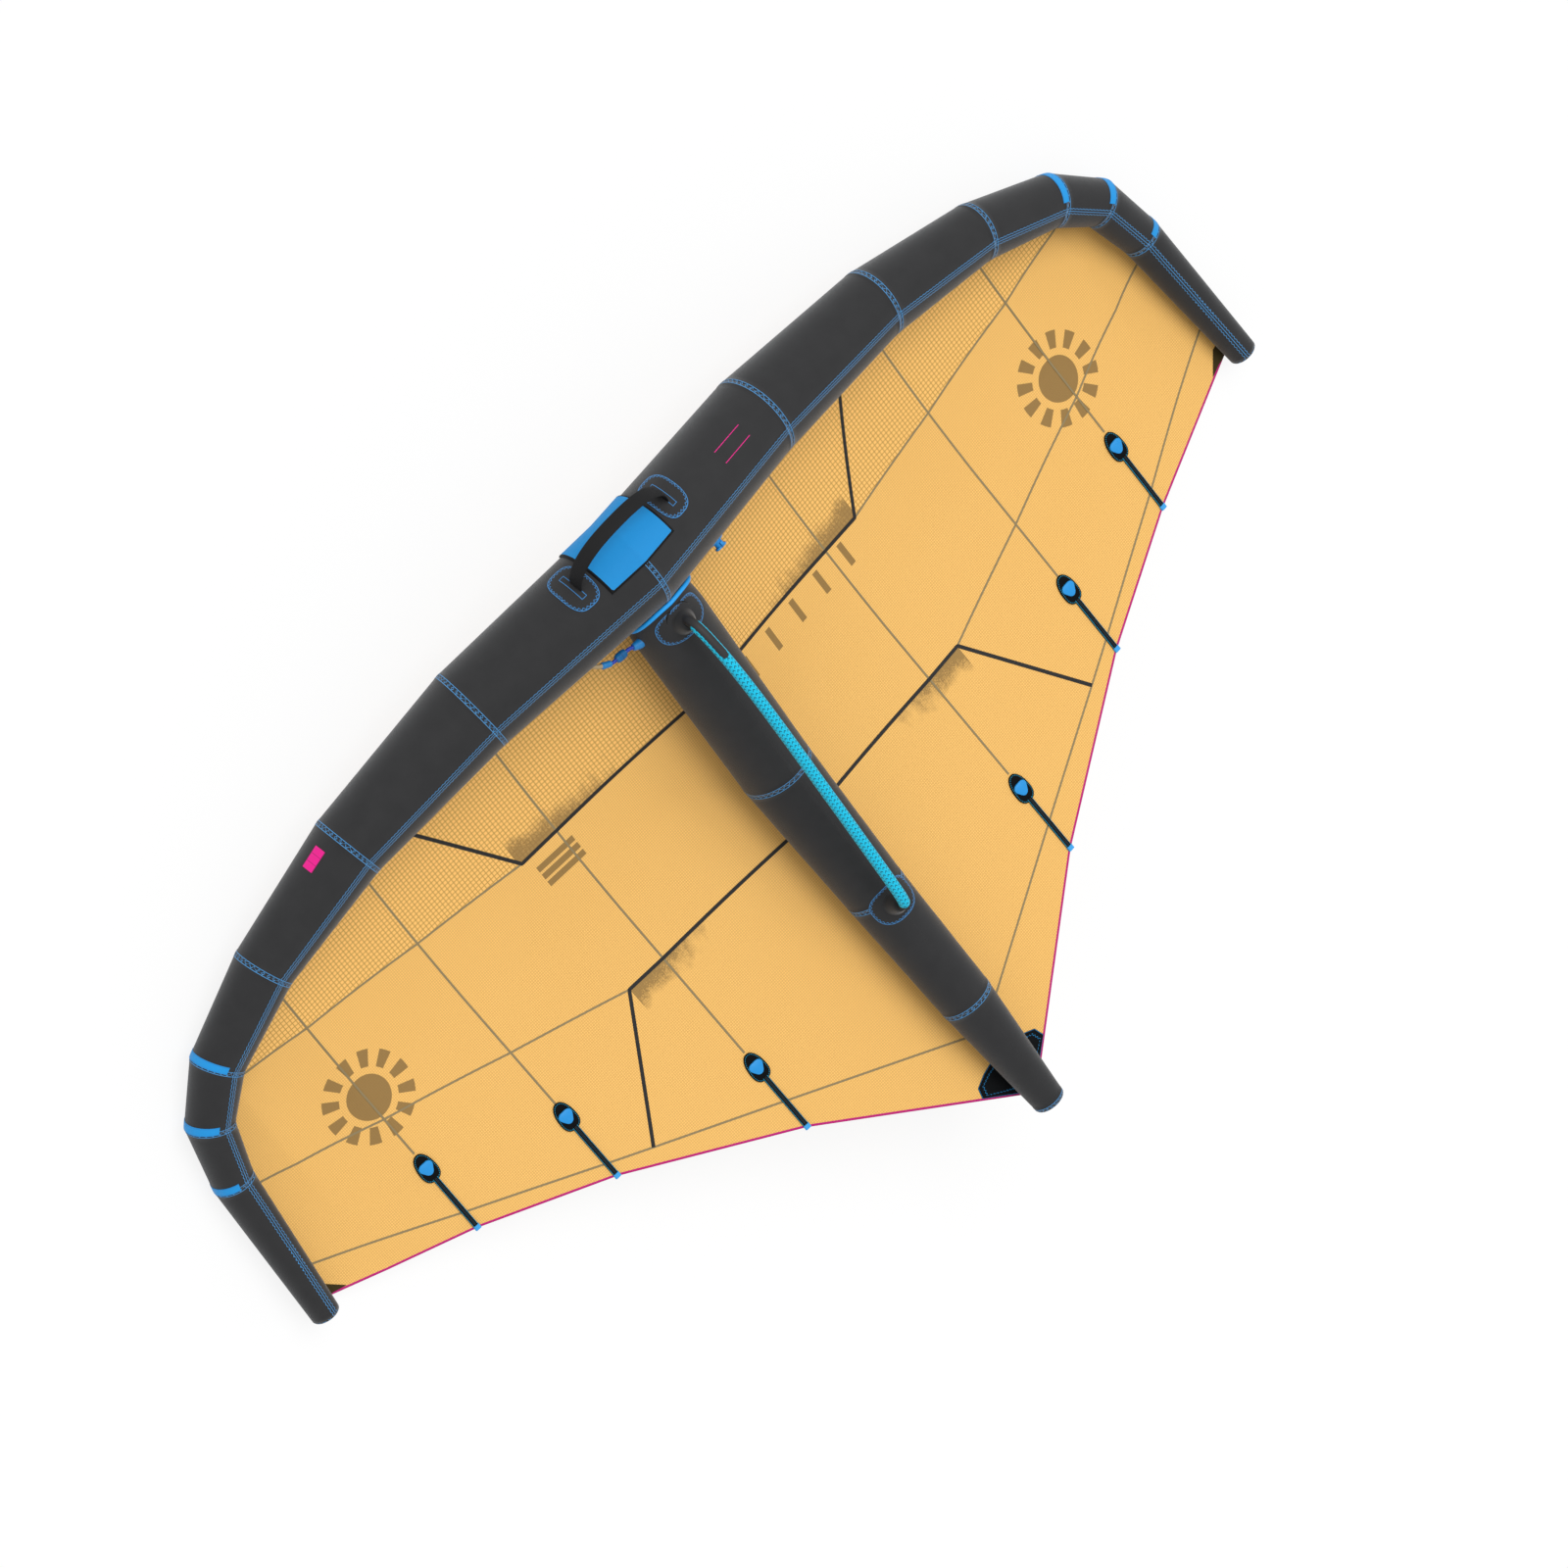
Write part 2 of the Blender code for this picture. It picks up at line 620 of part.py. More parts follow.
def mesh_from_curve(name, curve):
    """Closed mesh of a curve's evaluated body, its caps welded on; the curve itself is removed."""
    thing = bpy.data.objects.new(name, curve)
    PARTS.objects.link(thing)
    graph = bpy.context.evaluated_depsgraph_get()
    mesh = bpy.data.meshes.new_from_object(thing.evaluated_get(graph))
    mesh.transform(thing.matrix_world)
    bpy.data.objects.remove(thing, do_unlink=True)
    work = bmesh.new()
    work.from_mesh(mesh)
    bmesh.ops.remove_doubles(work, verts=work.verts, dist=MERGE_DISTANCE)
    bmesh.ops.recalc_face_normals(work, faces=work.faces)
    work.to_mesh(mesh)
    work.free()
    mesh.name = name
    mesh.shade_smooth()
    mesh.set_sharp_from_angle(angle=turn(SMOOTH_ANGLE))
    return mesh


def rod(name, path, radii):
    """Round bar along a path: a bevelled curve with filled caps and a radius of its own at each point."""
    curve = bpy.data.curves.new(name, "CURVE")
    curve.dimensions = "3D"
    curve.bevel_depth = 1.0
    curve.bevel_resolution = 4
    curve.use_fill_caps = True
    spline = curve.splines.new("POLY")
    spline.points.add(len(path) - 1)
    for point, place, radius in zip(spline.points, path, radii):
        point.co = (*place, 1.0)
        point.radius = radius
    return mesh_from_curve(name, curve)


def camber_shape(share):
    """Depth of the aerofoil along the chord, 1 at its deepest; straight behind the battens' start."""
    def curve(value):
        return value * (1 - value) ** CAMBER_TAIL_POWER
    deepest = curve(1 / (1 + CAMBER_TAIL_POWER))
    if share <= STRAIGHT_SHARE:
        return curve(share) / deepest
    return curve(STRAIGHT_SHARE) / deepest * (1 - share) / (1 - STRAIGHT_SHARE)


def tail_bend(column):
    centre = strut_underside(TAIL_CENTRE) - STRUT_SEAM_ROOM
    return np.array((HALF_SPAN * TAIL_SPAN_SHARES[column], TAIL_CENTRE - TAIL_RISE * TAIL_RISE_SHARES[column],
                     centre - TAIL_DROP * TAIL_DROP_SHARES[column]))


TIP_COLUMN = len(TAIL_SPAN_SHARES)


def attach_point(place):
    """Where the canopy leaves the leading edge, at a fractional ring number."""
    angle = turn(-90.0 + share_between(ATTACH_ANGLES, place))
    return LEADING_EDGE.point(place, angle, CANOPY_LIFT)


def column_point(column, share):
    """Canopy point on the chord line of one ring seam, at a share of the chord."""
    if column == TIP_COLUMN:
        if share <= TIP_RING_SHARE:
            return attach_point(TIP_COLUMN + share / TIP_RING_SHARE)
        rest = (share - TIP_RING_SHARE) / (1 - TIP_RING_SHARE)
        return attach_point(TIP_COLUMN + 1 + rest * TAIL_TIP_SHARE)
    front = attach_point(column)
    tail = tail_bend(column)
    point = front * (1 - share) + tail * share
    if column == 0:
        if share > 0:
            meet = CHORD_SHARES[2]
            start = front * (1 - meet) + tail * meet
            floor = strut_underside(float(max(point[1], start[1]))) - STRUT_SEAM_ROOM
            rest = min(share / meet, 1.0)
            point[2] = front[2] * (1 - rest) + floor * rest
        return point
    point[2] -= CAMBER * CAMBER_SHARES[column] * camber_shape(share)
    return point


def canopy_point(place, share):
    """Canopy point at a fractional ring number and a share of the chord."""
    low = min(int(place), TIP_COLUMN - 1)
    rest = place - low
    if share == 0:
        return attach_point(place)
    point = column_point(low, share) * (1 - rest) + column_point(low + 1, share) * rest
    point[2] -= BILLOW * math.sin(math.pi * rest) * camber_shape(share)
    return point


def on_canopy(place, share):
    """Point on the canopy's upper side, on the halved fields between its rows of points."""
    column = min(int(place * 2), 2 * TIP_COLUMN - 1)
    line = max(index for index in range(len(CHORD_SHARES) - 1) if CHORD_SHARES[index] <= share)
    across = place * 2 - column
    along = (share - CHORD_SHARES[line]) / (CHORD_SHARES[line + 1] - CHORD_SHARES[line])
    near = canopy_point(column / 2, CHORD_SHARES[line])
    far = canopy_point((column + 1) / 2, CHORD_SHARES[line + 1])
    if across >= along:
        corner = canopy_point((column + 1) / 2, CHORD_SHARES[line])
        return near * (1 - across) + corner * (across - along) + far * along
    corner = canopy_point(column / 2, CHORD_SHARES[line + 1])
    return near * (1 - along) + corner * (along - across) + far * across


def canopy_panel(places, first_shift, last_shift):
    rows = []
    for index, place in enumerate(places):
        shift = 0.0
        if index == 0:
            shift = first_shift
        if index == len(places) - 1:
            shift = -last_shift
        rows.append([canopy_point(place, share) + np.array((shift, 0.0, 0.0)) for share in CHORD_SHARES])
    return rows


def build_canopy():
    half_gap = TOUCH_GAP / 2
    inner_places = [step / 2 for step in range(2 * SPLIT_COLUMN + 1)]
    outer_places = [SPLIT_COLUMN + step / 2 for step in range(2 * (TIP_COLUMN - SPLIT_COLUMN) + 1)]
    runs = (("inner", inner_places, MID_SEAM_ROOM, half_gap), ("outer", outer_places, half_gap, 0.0))
    up = (0.0, 0.0, 1.0)
    for run, places, first_shift, last_shift in runs:
        rows = canopy_panel(places, first_shift, last_shift)
        left = add_object("canopy_left_" + run, open_sheet("canopy", rows, up), AMBER, 0.6)
        right = add_object("canopy_right_" + run, open_sheet("canopy", mirrored(rows), up), AMBER, 0.6)
        thicken(left, CANOPY_THICKNESS, -1.0)
        thicken(right, CANOPY_THICKNESS, -1.0)
    build_tail_tape()


def build_tail_tape():
    """Magenta tape folded over the trailing edge, one run on each side."""
    half = CANOPY_THICKNESS / 2 + TOUCH_GAP
    section = ((-TAPE_WIDTH, -half), (TOUCH_GAP, -half), (TOUCH_GAP, half), (-TAPE_WIDTH, half))
    up = np.array((0.0, 0.0, 1.0))
    rows = []
    for step in range(2 * TIP_COLUMN + 1):
        place = step / 2
        edge = canopy_point(place, 1.0)
        ahead = canopy_point(place, CHORD_SHARES[-2])
        rearward = unit(edge - ahead)
        if step == 0:
            edge = edge + np.array((MID_SEAM_ROOM, 0.0, 0.0))
            rearward = unit(rearward * np.array((0.0, 1.0, 1.0)))
        if step == 2 * TIP_COLUMN:
            edge = edge - unit(edge - canopy_point(place - 1, 1.0)) * TAPE_WIDTH
        middle = edge - up * CANOPY_THICKNESS / 2
        rows.append([middle + rearward * along + up * lift for along, lift in section])
    for side, side_rows in (("left", rows), ("right", mirrored(rows))):
        mesh = open_sheet("tail_tape", side_rows, (0.0, 1.0, 0.0))
        tape = add_object("tail_tape_" + side, mesh, MAGENTA, 0.5)
        thicken(tape, TAPE_THICKNESS, 1.0)


def box_mesh(name, low, high):
    work = bmesh.new()
    bmesh.ops.create_cube(work, size=1.0)
    low = Vector(low)
    high = Vector(high)
    for vertex in work.verts:
        share = vertex.co + Vector((0.5, 0.5, 0.5))
        vertex.co = Vector([low[axis] + (high[axis] - low[axis]) * share[axis] for axis in range(3)])
    mesh = bpy.data.meshes.new(name)
    work.to_mesh(mesh)
    work.free()
    return mesh


def plate_mesh(name, outline, low, high):
    """Flat plate: an outline as a filled flat curve, extruded by half its thickness both ways."""
    curve = bpy.data.curves.new(name, "CURVE")
    curve.dimensions = "2D"
    curve.fill_mode = "BOTH"
    curve.extrude = (high - low) / 2
    spline = curve.splines.new("POLY")
    spline.points.add(len(outline) - 1)
    for point, (a, b) in zip(spline.points, outline):
        point.co = (a, b, 0.0, 1.0)
    spline.use_cyclic_u = True
    mesh = mesh_from_curve(name, curve)
    mesh.transform(Matrix.Translation((0.0, 0.0, (low + high) / 2)))
    return mesh


def frame_matrix(origin, x_axis, y_axis, z_axis):
    matrix = Matrix.Identity(4)
    for column, axis in enumerate((x_axis, y_axis, z_axis, origin)):
        for row in range(3):
            matrix[row][column] = float(axis[row])
    return matrix


def batten_frame(column, hand):
    """Place of a batten: origin on the trailing edge, local Y forward along it, local Z off the canopy."""
    tail = column_point(column, 1.0)
    ahead = column_point(column, CHORD_SHARES[-2])
    forward = unit(ahead - tail)
    span = column_point(column + 1, 1.0) - column_point(column - 1, 1.0)
    across = unit(span - forward * float(span @ forward))
    flip = np.array((hand, 1.0, 1.0))
    forward = forward * flip
    across = across * flip
    off = unit(np.cross(across, forward))
    if off[2] < 0:
        across = -across
        off = -off
    return tail * flip, across, forward, off


def head_outline(centre):
    """Teardrop of the pocket's front patch: round in front, narrower where the strip comes in."""
    outline = []
    count = 22
    for step in range(count):
        angle = 2 * math.pi * step / count
        along = math.sin(angle)
        narrow = 1.0 - HEAD_NARROW_SHARE * (1 - along) / 2
        a = HEAD_WIDTH / 2 * math.cos(angle) * narrow
        b = centre + HEAD_LENGTH / 2 * along
        outline.append((a, b))
    return outline


def cap_outline(centre):
    """Rounded triangle of the batten's front cap, its point towards the trailing edge."""
    outline = []
    count = 15
    for step in range(count):
        angle = 2 * math.pi * step / count
        reach = BATTEN_CAP_SIZE / 2 * (1 + CAP_CORNER_SHARE * math.sin(3 * angle))
        outline.append((reach * math.cos(angle), centre + reach * math.sin(angle)))
    return outline


def build_batten(column, side, hand):
    length = BATTEN_LENGTHS[column - 1]
    origin, across, forward, off = batten_frame(column, hand)
    place = frame_matrix(origin, across, forward, off)
    name = side + "_" + str(column)
    head_low = SEAT_LIFT
    head_high = head_low + HEAD_THICKNESS
    strip_front = length - HEAD_LENGTH / 2 + POCKET_WIDTH / 2
    tunnel_low = head_high + TOUCH_GAP
    tunnel_high = tunnel_low + BATTEN_THICKNESS
    room = TOUCH_GAP

    strip = box_mesh("strip", (-POCKET_WIDTH / 2, POCKET_START, SEAT_LIFT),
                     (POCKET_WIDTH / 2, strip_front, SEAT_LIFT + POCKET_HEIGHT))
    pocket = add_object("batten_pocket_" + name, strip, BLACK, 0.6)
    head = add_cutter("head_" + name, plate_mesh("head", head_outline(length), head_low, head_high))
    tab = add_cutter("tab_" + name, box_mesh("tab", (-TAB_WIDTH / 2, POCKET_START, SEAT_LIFT),
                                             (TAB_WIDTH / 2, POCKET_START + TAB_LENGTH,
                                              SEAT_LIFT + POCKET_HEIGHT + TAB_THICKNESS)))
    tunnel = add_cutter("tunnel_" + name,
                        box_mesh("tunnel", (-BATTEN_WIDTH / 2 - room, POCKET_START + TAB_LENGTH, head_high),
                                 (BATTEN_WIDTH / 2 + room, length, tunnel_high + room)))
    batten = box_mesh("batten", (-BATTEN_WIDTH / 2, POCKET_START + TAB_LENGTH + room, tunnel_low),
                      (BATTEN_WIDTH / 2, length, tunnel_high))
    cap_low = tunnel_low
    cap = add_cutter("cap_" + name, plate_mesh("cap", cap_outline(length), cap_low,
                                               cap_low + BATTEN_CAP_HEIGHT))
    rod_part = add_object("batten_" + name, batten, BRIGHT_BLUE, 0.45)
    for thing in (pocket, head, tab, tunnel, rod_part, cap):
        thing.matrix_local = place
    cut(pocket, head, "UNION")
    cut(pocket, tab, "UNION")
    cut(pocket, tunnel)
    cut(rod_part, cap, "UNION")


def build_battens():
    for side, hand in (("left", 1.0), ("right", -1.0)):
        for column in (1, 2, 3):
            build_batten(column, side, hand)


def tip_patch():
    """Rows of points of the reinforcement on the far side of the canopy's outer rear corner, a triangle."""
    edge = canopy_point(TIP_COLUMN, 1.0)
    inward = float(np.linalg.norm(canopy_point(TIP_COLUMN - 0.5, 1.0) - edge))
    forward = float(np.linalg.norm(canopy_point(TIP_COLUMN, CHORD_SHARES[-2]) - edge))
    places = TIP_PATCH_WIDTH / inward / 2
    shares = TIP_PATCH_LENGTH / forward * (1 - CHORD_SHARES[-2])
    margin = 2 * TAPE_WIDTH
    last_place = TIP_COLUMN - margin / inward / 2
    last_share = 1 - margin / forward * (1 - CHORD_SHARES[-2])
    down = np.array((0.0, 0.0, CANOPY_THICKNESS + SHEET_ROOM))
    steps = 4
    rows = []
    for column in range(steps + 1):
        u = column / steps
        row = []
        for line in range(steps + 1):
            v = line / steps
            place = last_place - places * u * (1 - v / 2)
            share = last_share - shares * v * (1 - u / 2)
            row.append(on_canopy(place, share) - down)
        rows.append(row)
    return rows


def tail_patch():
    """Rows of points of the reinforcement on the canopy round the strut's tail, rounded towards the front."""
    half_width = canopy_point(1.0, 1.0)[0]
    chord = float(np.linalg.norm(canopy_point(0.0, 1.0) - canopy_point(0.0, 0.0)))
    lift = np.array((0.0, 0.0, SHEET_ROOM))
    columns = 12
    lines = 4
    rows = []
    for column in range(columns + 1):
        u = 2 * column / columns - 1
        place = abs(u) * TAIL_PATCH_HALF_WIDTH / half_width
        front = TAIL_PATCH_LENGTH * (1 - (1 - TAIL_PATCH_SIDE_SHARE) * abs(u) ** TAIL_PATCH_POWER)
        flip = np.array((math.copysign(1.0, u), 1.0, 1.0))
        row = []
        for line in range(lines + 1):
            share = 1 - (2 * TAPE_WIDTH + front * line / lines) / chord
            row.append((on_canopy(place, share) + lift) * flip)
        rows.append(row)
    return rows


def build_canopy_patches():
    rows = tip_patch()
    for side, side_rows in (("left", rows), ("right", mirrored(rows))):
        mesh = open_sheet("tip_patch", side_rows, (0.0, 0.0, -1.0))
        patch = add_object("tip_patch_" + side, mesh, BLACK, 0.7)
        thicken(patch, PATCH_THICKNESS, 1.0)
    mesh = open_sheet("strut_tail_patch", tail_patch(), (0.0, 0.0, 1.0))
    patch = add_object("strut_tail_patch", mesh, BLACK, 0.7)
    thicken(patch, PATCH_THICKNESS, 1.0)


def build_handle():
    """Strap handle over the leading edge, its two base patches and the blue pad between them."""
    angle = turn(HANDLE_ANGLE)
    step_room = LEADING_EDGE_RADIUS * (1 - math.cos(turn(PATCH_SIDE_ANGLE)))
    low = TOUCH_GAP + step_room
    patch_angle = turn(HANDLE_ANGLE + HANDLE_PATCH_TURN)
    outward = np.array((0.0, math.cos(angle), math.sin(angle)))
    for side, hand in (("left", 1.0), ("right", -1.0)):
        def surface(a, b, hand=hand):
            x = hand * (HANDLE_HALF_SPAN + a)
            return leading_edge_point(x, patch_angle + b / LEADING_EDGE_RADIUS, low)
        rows = rounded_patch(HANDLE_PATCH_WIDTH / 2, HANDLE_PATCH_LENGTH / 2, 6, 12, surface)
        patch = add_object("handle_patch_" + side, open_sheet("handle_patch", rows, outward), CHARCOAL, 0.6)
        thicken(patch, PATCH_THICKNESS, 1.0)

    pad_low = LEADING_EDGE_RADIUS * (1 - math.cos(turn(PAD_SIDE_ANGLE))) + TOUCH_GAP
    columns = 8
    lines = 12
    rows = []
    for column in range(columns + 1):
        x = HANDLE_HALF_SPAN * PAD_WIDTH_SHARE * (2 * column / columns - 1)
        row = []
        for line in range(lines + 1):
            value = turn(PAD_ANGLES[0] + (PAD_ANGLES[1] - PAD_ANGLES[0]) * line / lines)
            row.append(leading_edge_point(x, value, pad_low))
        rows.append(row)
    pad = add_object("handle_pad", open_sheet("handle_pad", rows, outward), BRIGHT_BLUE, 0.5)
    thicken(pad, PAD_THICKNESS, 1.0)

    foot = leading_edge_point(HANDLE_HALF_SPAN, angle, low + PATCH_THICKNESS + TOUCH_GAP * 5)
    across = np.array((0.0, -math.sin(angle), math.cos(angle)))
    steps = 24
    rows = []
    for step in range(steps + 1):
        swing = math.pi * step / steps
        x = HANDLE_HALF_SPAN * math.copysign(abs(math.cos(swing)) ** ARCH_POWER_SHARES[0], math.cos(swing))
        rise = HANDLE_RISE * math.sin(swing) ** ARCH_POWER_SHARES[1] if 0 < step < steps else 0.0
        point = np.array((x, foot[1], foot[2])) + outward * rise
        rows.append([point + across * (STRAP_WIDTH * (line / 2 - 0.5)) for line in range(3)])
    strap = add_object("handle_strap", open_sheet("handle_strap", rows, outward), BLACK, 0.7)
    thicken(strap, STRAP_THICKNESS, 0.0)
    edges = strap.modifiers.new("worn_edges", "BEVEL")
    edges.width = STRAP_EDGE
    edges.segments = 2
    edges.limit_method = "ANGLE"
    edges.angle_limit = turn(SHARP_ANGLE)


def base_outline():
    """Half profile of a moulded base: down its socket's wall, out over the shoulder, and down its skirt."""
    socket = PLUG_RADIUS + TOUCH_GAP
    shoulder = [(BASE_RADIUS * out, BASE_HEIGHT * up) for out, up in reversed(BASE_SHOULDER_SHARES)]
    return [(0.0, BASE_HEIGHT - SOCKET_DEPTH), (socket, BASE_HEIGHT - SOCKET_DEPTH), (socket, BASE_HEIGHT),
            (BASE_TOP_RADIUS, BASE_HEIGHT), *shoulder, (BASE_RADIUS, -BASE_RADIUS), (0.0, -BASE_RADIUS)]


def build_grip():
    """Hand grip over the strut, its moulded bases and their patches."""
    places = (STRUT_LENGTH * FRONT_BASE_SHARE, STRUT_LENGTH * REAR_BASE_SHARE)
    patch_low = TOUCH_GAP + STRUT_RADIUS * (1 - math.cos(turn(STRUT_SIDE_ANGLE)))
    patch_high = patch_low + PATCH_THICKNESS
    seats = []
    for index, end in enumerate(("front", "rear")):
        place = places[index]
        patch_place = place - PATCH_SHIFT
        top = strut_topside(place)
        base = add_object(end + "_grip_base", half_profile("grip_base", base_outline()), BLACK, 0.5)
        turned(base, ROUND_SIDES)
        base.location = (0.0, place, top + patch_high)
        cut(base, STRUT_ENVELOPE)
        if end == "front":
            cut(base, LEADING_EDGE_ENVELOPE)
        seats.append(top + patch_high + BASE_HEIGHT)

        radius = STRUT.radii[int(round(strut_place(patch_place)))]

        def surface(a, b, patch_place=patch_place, radius=radius):
            return STRUT.point(strut_place(patch_place + b), turn(90.0) + a / radius, patch_low)
        rows = rounded_patch(PATCH_HALF_WIDTHS[index], PATCH_HALF_LENGTHS[index], 12, 8, surface)
        mesh = open_sheet("grip_patch", rows, (0.0, 0.0, 1.0))
        patch = add_object(end + "_grip_patch", mesh, CHARCOAL, 0.6)
        thicken(patch, PATCH_THICKNESS, 1.0)
        if end == "front":
            cut(patch, LEADING_EDGE_ENVELOPE)
            cut(patch, PIPING_ROOM)

    reach = places[1] - places[0]
    route = [np.array((0.0, places[0] + reach * along, GRIP_TOP * up)) for along, up in GRIP_ROUTE_SHARES]
    front_plug = [np.array((0.0, places[0], seats[0] - PLUG_DEPTH)),
                  np.array((0.0, places[0], seats[0] + TOUCH_GAP * 3))]
    rear_plug = [np.array((0.0, places[1], seats[1] + TOUCH_GAP * 3)),
                 np.array((0.0, places[1], seats[1] - PLUG_DEPTH))]
    path = front_plug + route + rear_plug
    radii = [PLUG_RADIUS] * 2 + [GRIP_TUBE_RADIUS] * len(route) + [PLUG_RADIUS] * 2
    add_object("grip_tube", rod("grip_tube", path, radii), BLACK, 0.35)
    covered = route[SLEEVE_FIRST:SLEEVE_LAST + 1]
    foam = rod("grip_sleeve", covered, [GRIP_RADIUS] * len(covered))
    sleeve = add_object("grip_sleeve", foam, TURQUOISE, 0.6)
    bore = add_cutter("sleeve_bore", rod("sleeve_bore", route, [GRIP_TUBE_RADIUS + TOUCH_GAP] * len(route)))
    cut(sleeve, bore)
    return seats


def valve_frame():
    """Place of the inflation valve: local Z off the leading edge, local X along it."""
    angle = turn(VALVE_ANGLE)
    origin = leading_edge_point(VALVE_PLACE, angle, 0.0)
    along = unit(leading_edge_point(VALVE_PLACE - TUBE_RULE, angle, 0.0)
                 - leading_edge_point(VALVE_PLACE + TUBE_RULE, angle, 0.0))
    round_way = (leading_edge_point(VALVE_PLACE, angle + turn(1.0), 0.0)
                 - leading_edge_point(VALVE_PLACE, angle - turn(1.0), 0.0))
    round_way = unit(round_way - along * float(round_way @ along))
    off = np.cross(along, round_way)
    middle = leading_edge_point(VALVE_PLACE, angle + math.pi, 0.0)
    if float(off @ (origin - middle)) < 0:
        along = -along
        off = -off
    return frame_matrix(origin, along, round_way, off)


def build_valve():
    place = valve_frame()
    low = TOUCH_GAP
    flange = low + VALVE_FLANGE_THICKNESS
    throat = VALVE_STEM_RADIUS * VALVE_THROAT_SHARE
    foot = -CASING_WALL * 4
    outline = ((VALVE_BORE_RADIUS, VALVE_HEIGHT), (VALVE_STEM_RADIUS, VALVE_HEIGHT),
               (VALVE_STEM_RADIUS, flange), (VALVE_FLANGE_RADIUS, flange), (VALVE_FLANGE_RADIUS, low),
               (throat, low), (throat, foot), (VALVE_BORE_RADIUS, foot))
    base = add_object("valve_base", half_profile("valve_base", outline, closed=True), BRIGHT_BLUE, 0.45)
    turned(base, ROUND_SIDES)
    ear = add_cutter("valve_ear", box_mesh("valve_ear", (-HINGE_HALF, throat, VALVE_HEIGHT - EAR_DEPTH),
                                           (HINGE_HALF, VALVE_HINGE_OFFSET + HINGE_HALF / 2,
                                            VALVE_HEIGHT - TOUCH_GAP)))
    outline = [(VALVE_CAP_RADIUS * out, VALVE_CAP_THICKNESS * up) for out, up in VALVE_CAP_SHARES]
    cap = add_object("valve_cap", half_profile("valve_cap", outline), BRIGHT_BLUE, 0.4)
    turned(cap, ROUND_SIDES)
    strap_half = HINGE_HALF * CAP_STRAP_SHARES[0]
    strap = add_cutter("cap_strap", box_mesh("cap_strap",
                                             (-strap_half, 0.0, VALVE_CAP_THICKNESS * CAP_STRAP_SHARES[1]),
                                             (strap_half, VALVE_HINGE_OFFSET,
                                              VALVE_CAP_THICKNESS * CAP_STRAP_SHARES[2])))
    for thing in (base, ear):
        thing.matrix_local = place
    for thing in (cap, strap):
        thing.matrix_local = place @ Matrix.Translation((0.0, 0.0, VALVE_HEIGHT + TOUCH_GAP))
    cut(base, ear, "UNION")
    cut(cap, strap, "UNION")


def build_hose():
    """Transfer hose between the two bladders, with its moulded cuffs, and the squeeze clip on it."""
    path = HOSE_ROUTE
    cuff = [CUFF_RADIUS, CUFF_RADIUS * CUFF_NECK_SHARE]
    radii = cuff + [HOSE_RADIUS] * (len(path) - 2 * len(cuff)) + cuff[::-1]
    hose = add_object("transfer_hose", rod("transfer_hose", path, radii), BRIGHT_BLUE, 0.45)
    cut(hose, STRUT_CASING_ENVELOPE)
    cut(hose, LEADING_EDGE_ENVELOPE)
    middle = (path[3] + path[4]) / 2
    along = unit(path[4] - path[3])
    up = np.array((0.0, 0.0, 1.0))
    up = unit(up - along * float(up @ along))
    side = np.cross(up, along)
    outline = rounded_oblong(CLIP_WIDTH / 2, CLIP_HEIGHT / 2, 2.4, 20)
    loops = []
    for end, pinch in CLIP_SHARES:
        centre = middle + along * CLIP_LENGTH * end
        loops.append([centre + side * a * pinch + up * b * pinch for a, b in outline])
    clip = add_object("hose_clip", loft("hose_clip", loops), BRIGHT_BLUE, 0.5)
    cut(clip, cylinder_cutter("clip_bore", frame_matrix(middle, side, up, along), HOSE_RADIUS + TOUCH_GAP * 3,
                              -CLIP_LENGTH, CLIP_LENGTH))


def envelope(name, tube, first, last, lift, both_sides, sides=TUBE_SIDES):
    """Solid of a tube's outside, a little larger than the tube, used as a cutter."""
    loops = [tube.loop(ring, lift, sides) for ring in range(first, last + 1)]
    if both_sides:
        loops = mirrored(loops)[::-1][:-1] + loops
    return add_cutter(name, loft(name, loops))


def cylinder_cutter(name, matrix, radius, low, high):
    """Round cutter along the Z axis of a given place."""
    work = bmesh.new()
    bmesh.ops.create_cone(work, cap_ends=True, segments=ROUND_SIDES, radius1=radius, radius2=radius,
                          depth=high - low, matrix=Matrix.Translation((0.0, 0.0, (low + high) / 2)))
    mesh = bpy.data.meshes.new(name)
    work.to_mesh(mesh)
    work.free()
    thing = add_cutter(name, mesh)
    thing.matrix_local = matrix
    return thing


def settle():
    """Tip and lift the wing until the two lowest lines of its tubes carry it, centred over the origin."""
    graph = bpy.context.evaluated_depsgraph_get()
    moment = np.zeros(3)
    volume = 0.0
    corners = []
    for thing in PARTS.objects:
        if thing.type != "MESH":
            continue
        work = bmesh.new()
        work.from_object(thing, graph)
        work.transform(thing.matrix_local)
        bmesh.ops.triangulate(work, faces=work.faces)
        for face in work.faces:
            one, two, three = (np.array(vertex.co) for vertex in face.verts)
            piece = float(one @ np.cross(two, three)) / 6
            volume += piece
            moment += piece * (one + two + three) / 4
        corners += [np.array(vertex.co) for vertex in work.verts]
        work.free()
    balance = moment / volume
    corners = np.array(corners)
    pitch = resting_pitch(corners, balance)
    flat = rotate_about_x(corners, -pitch)
    shift = (0.0, -(flat[:, 1].min() + flat[:, 1].max()) / 2, -flat[:, 2].min())
    ATTITUDE.rotation_euler = (-pitch, 0.0, 0.0)
    ATTITUDE.location = shift
    bpy.context.view_layer.update()
    print("balance", np.round(balance, 4), "pitch degrees", round(math.degrees(pitch), 3), "shift",
          np.round(shift, 5), "volume cm3", round(volume * 1e6, 1))


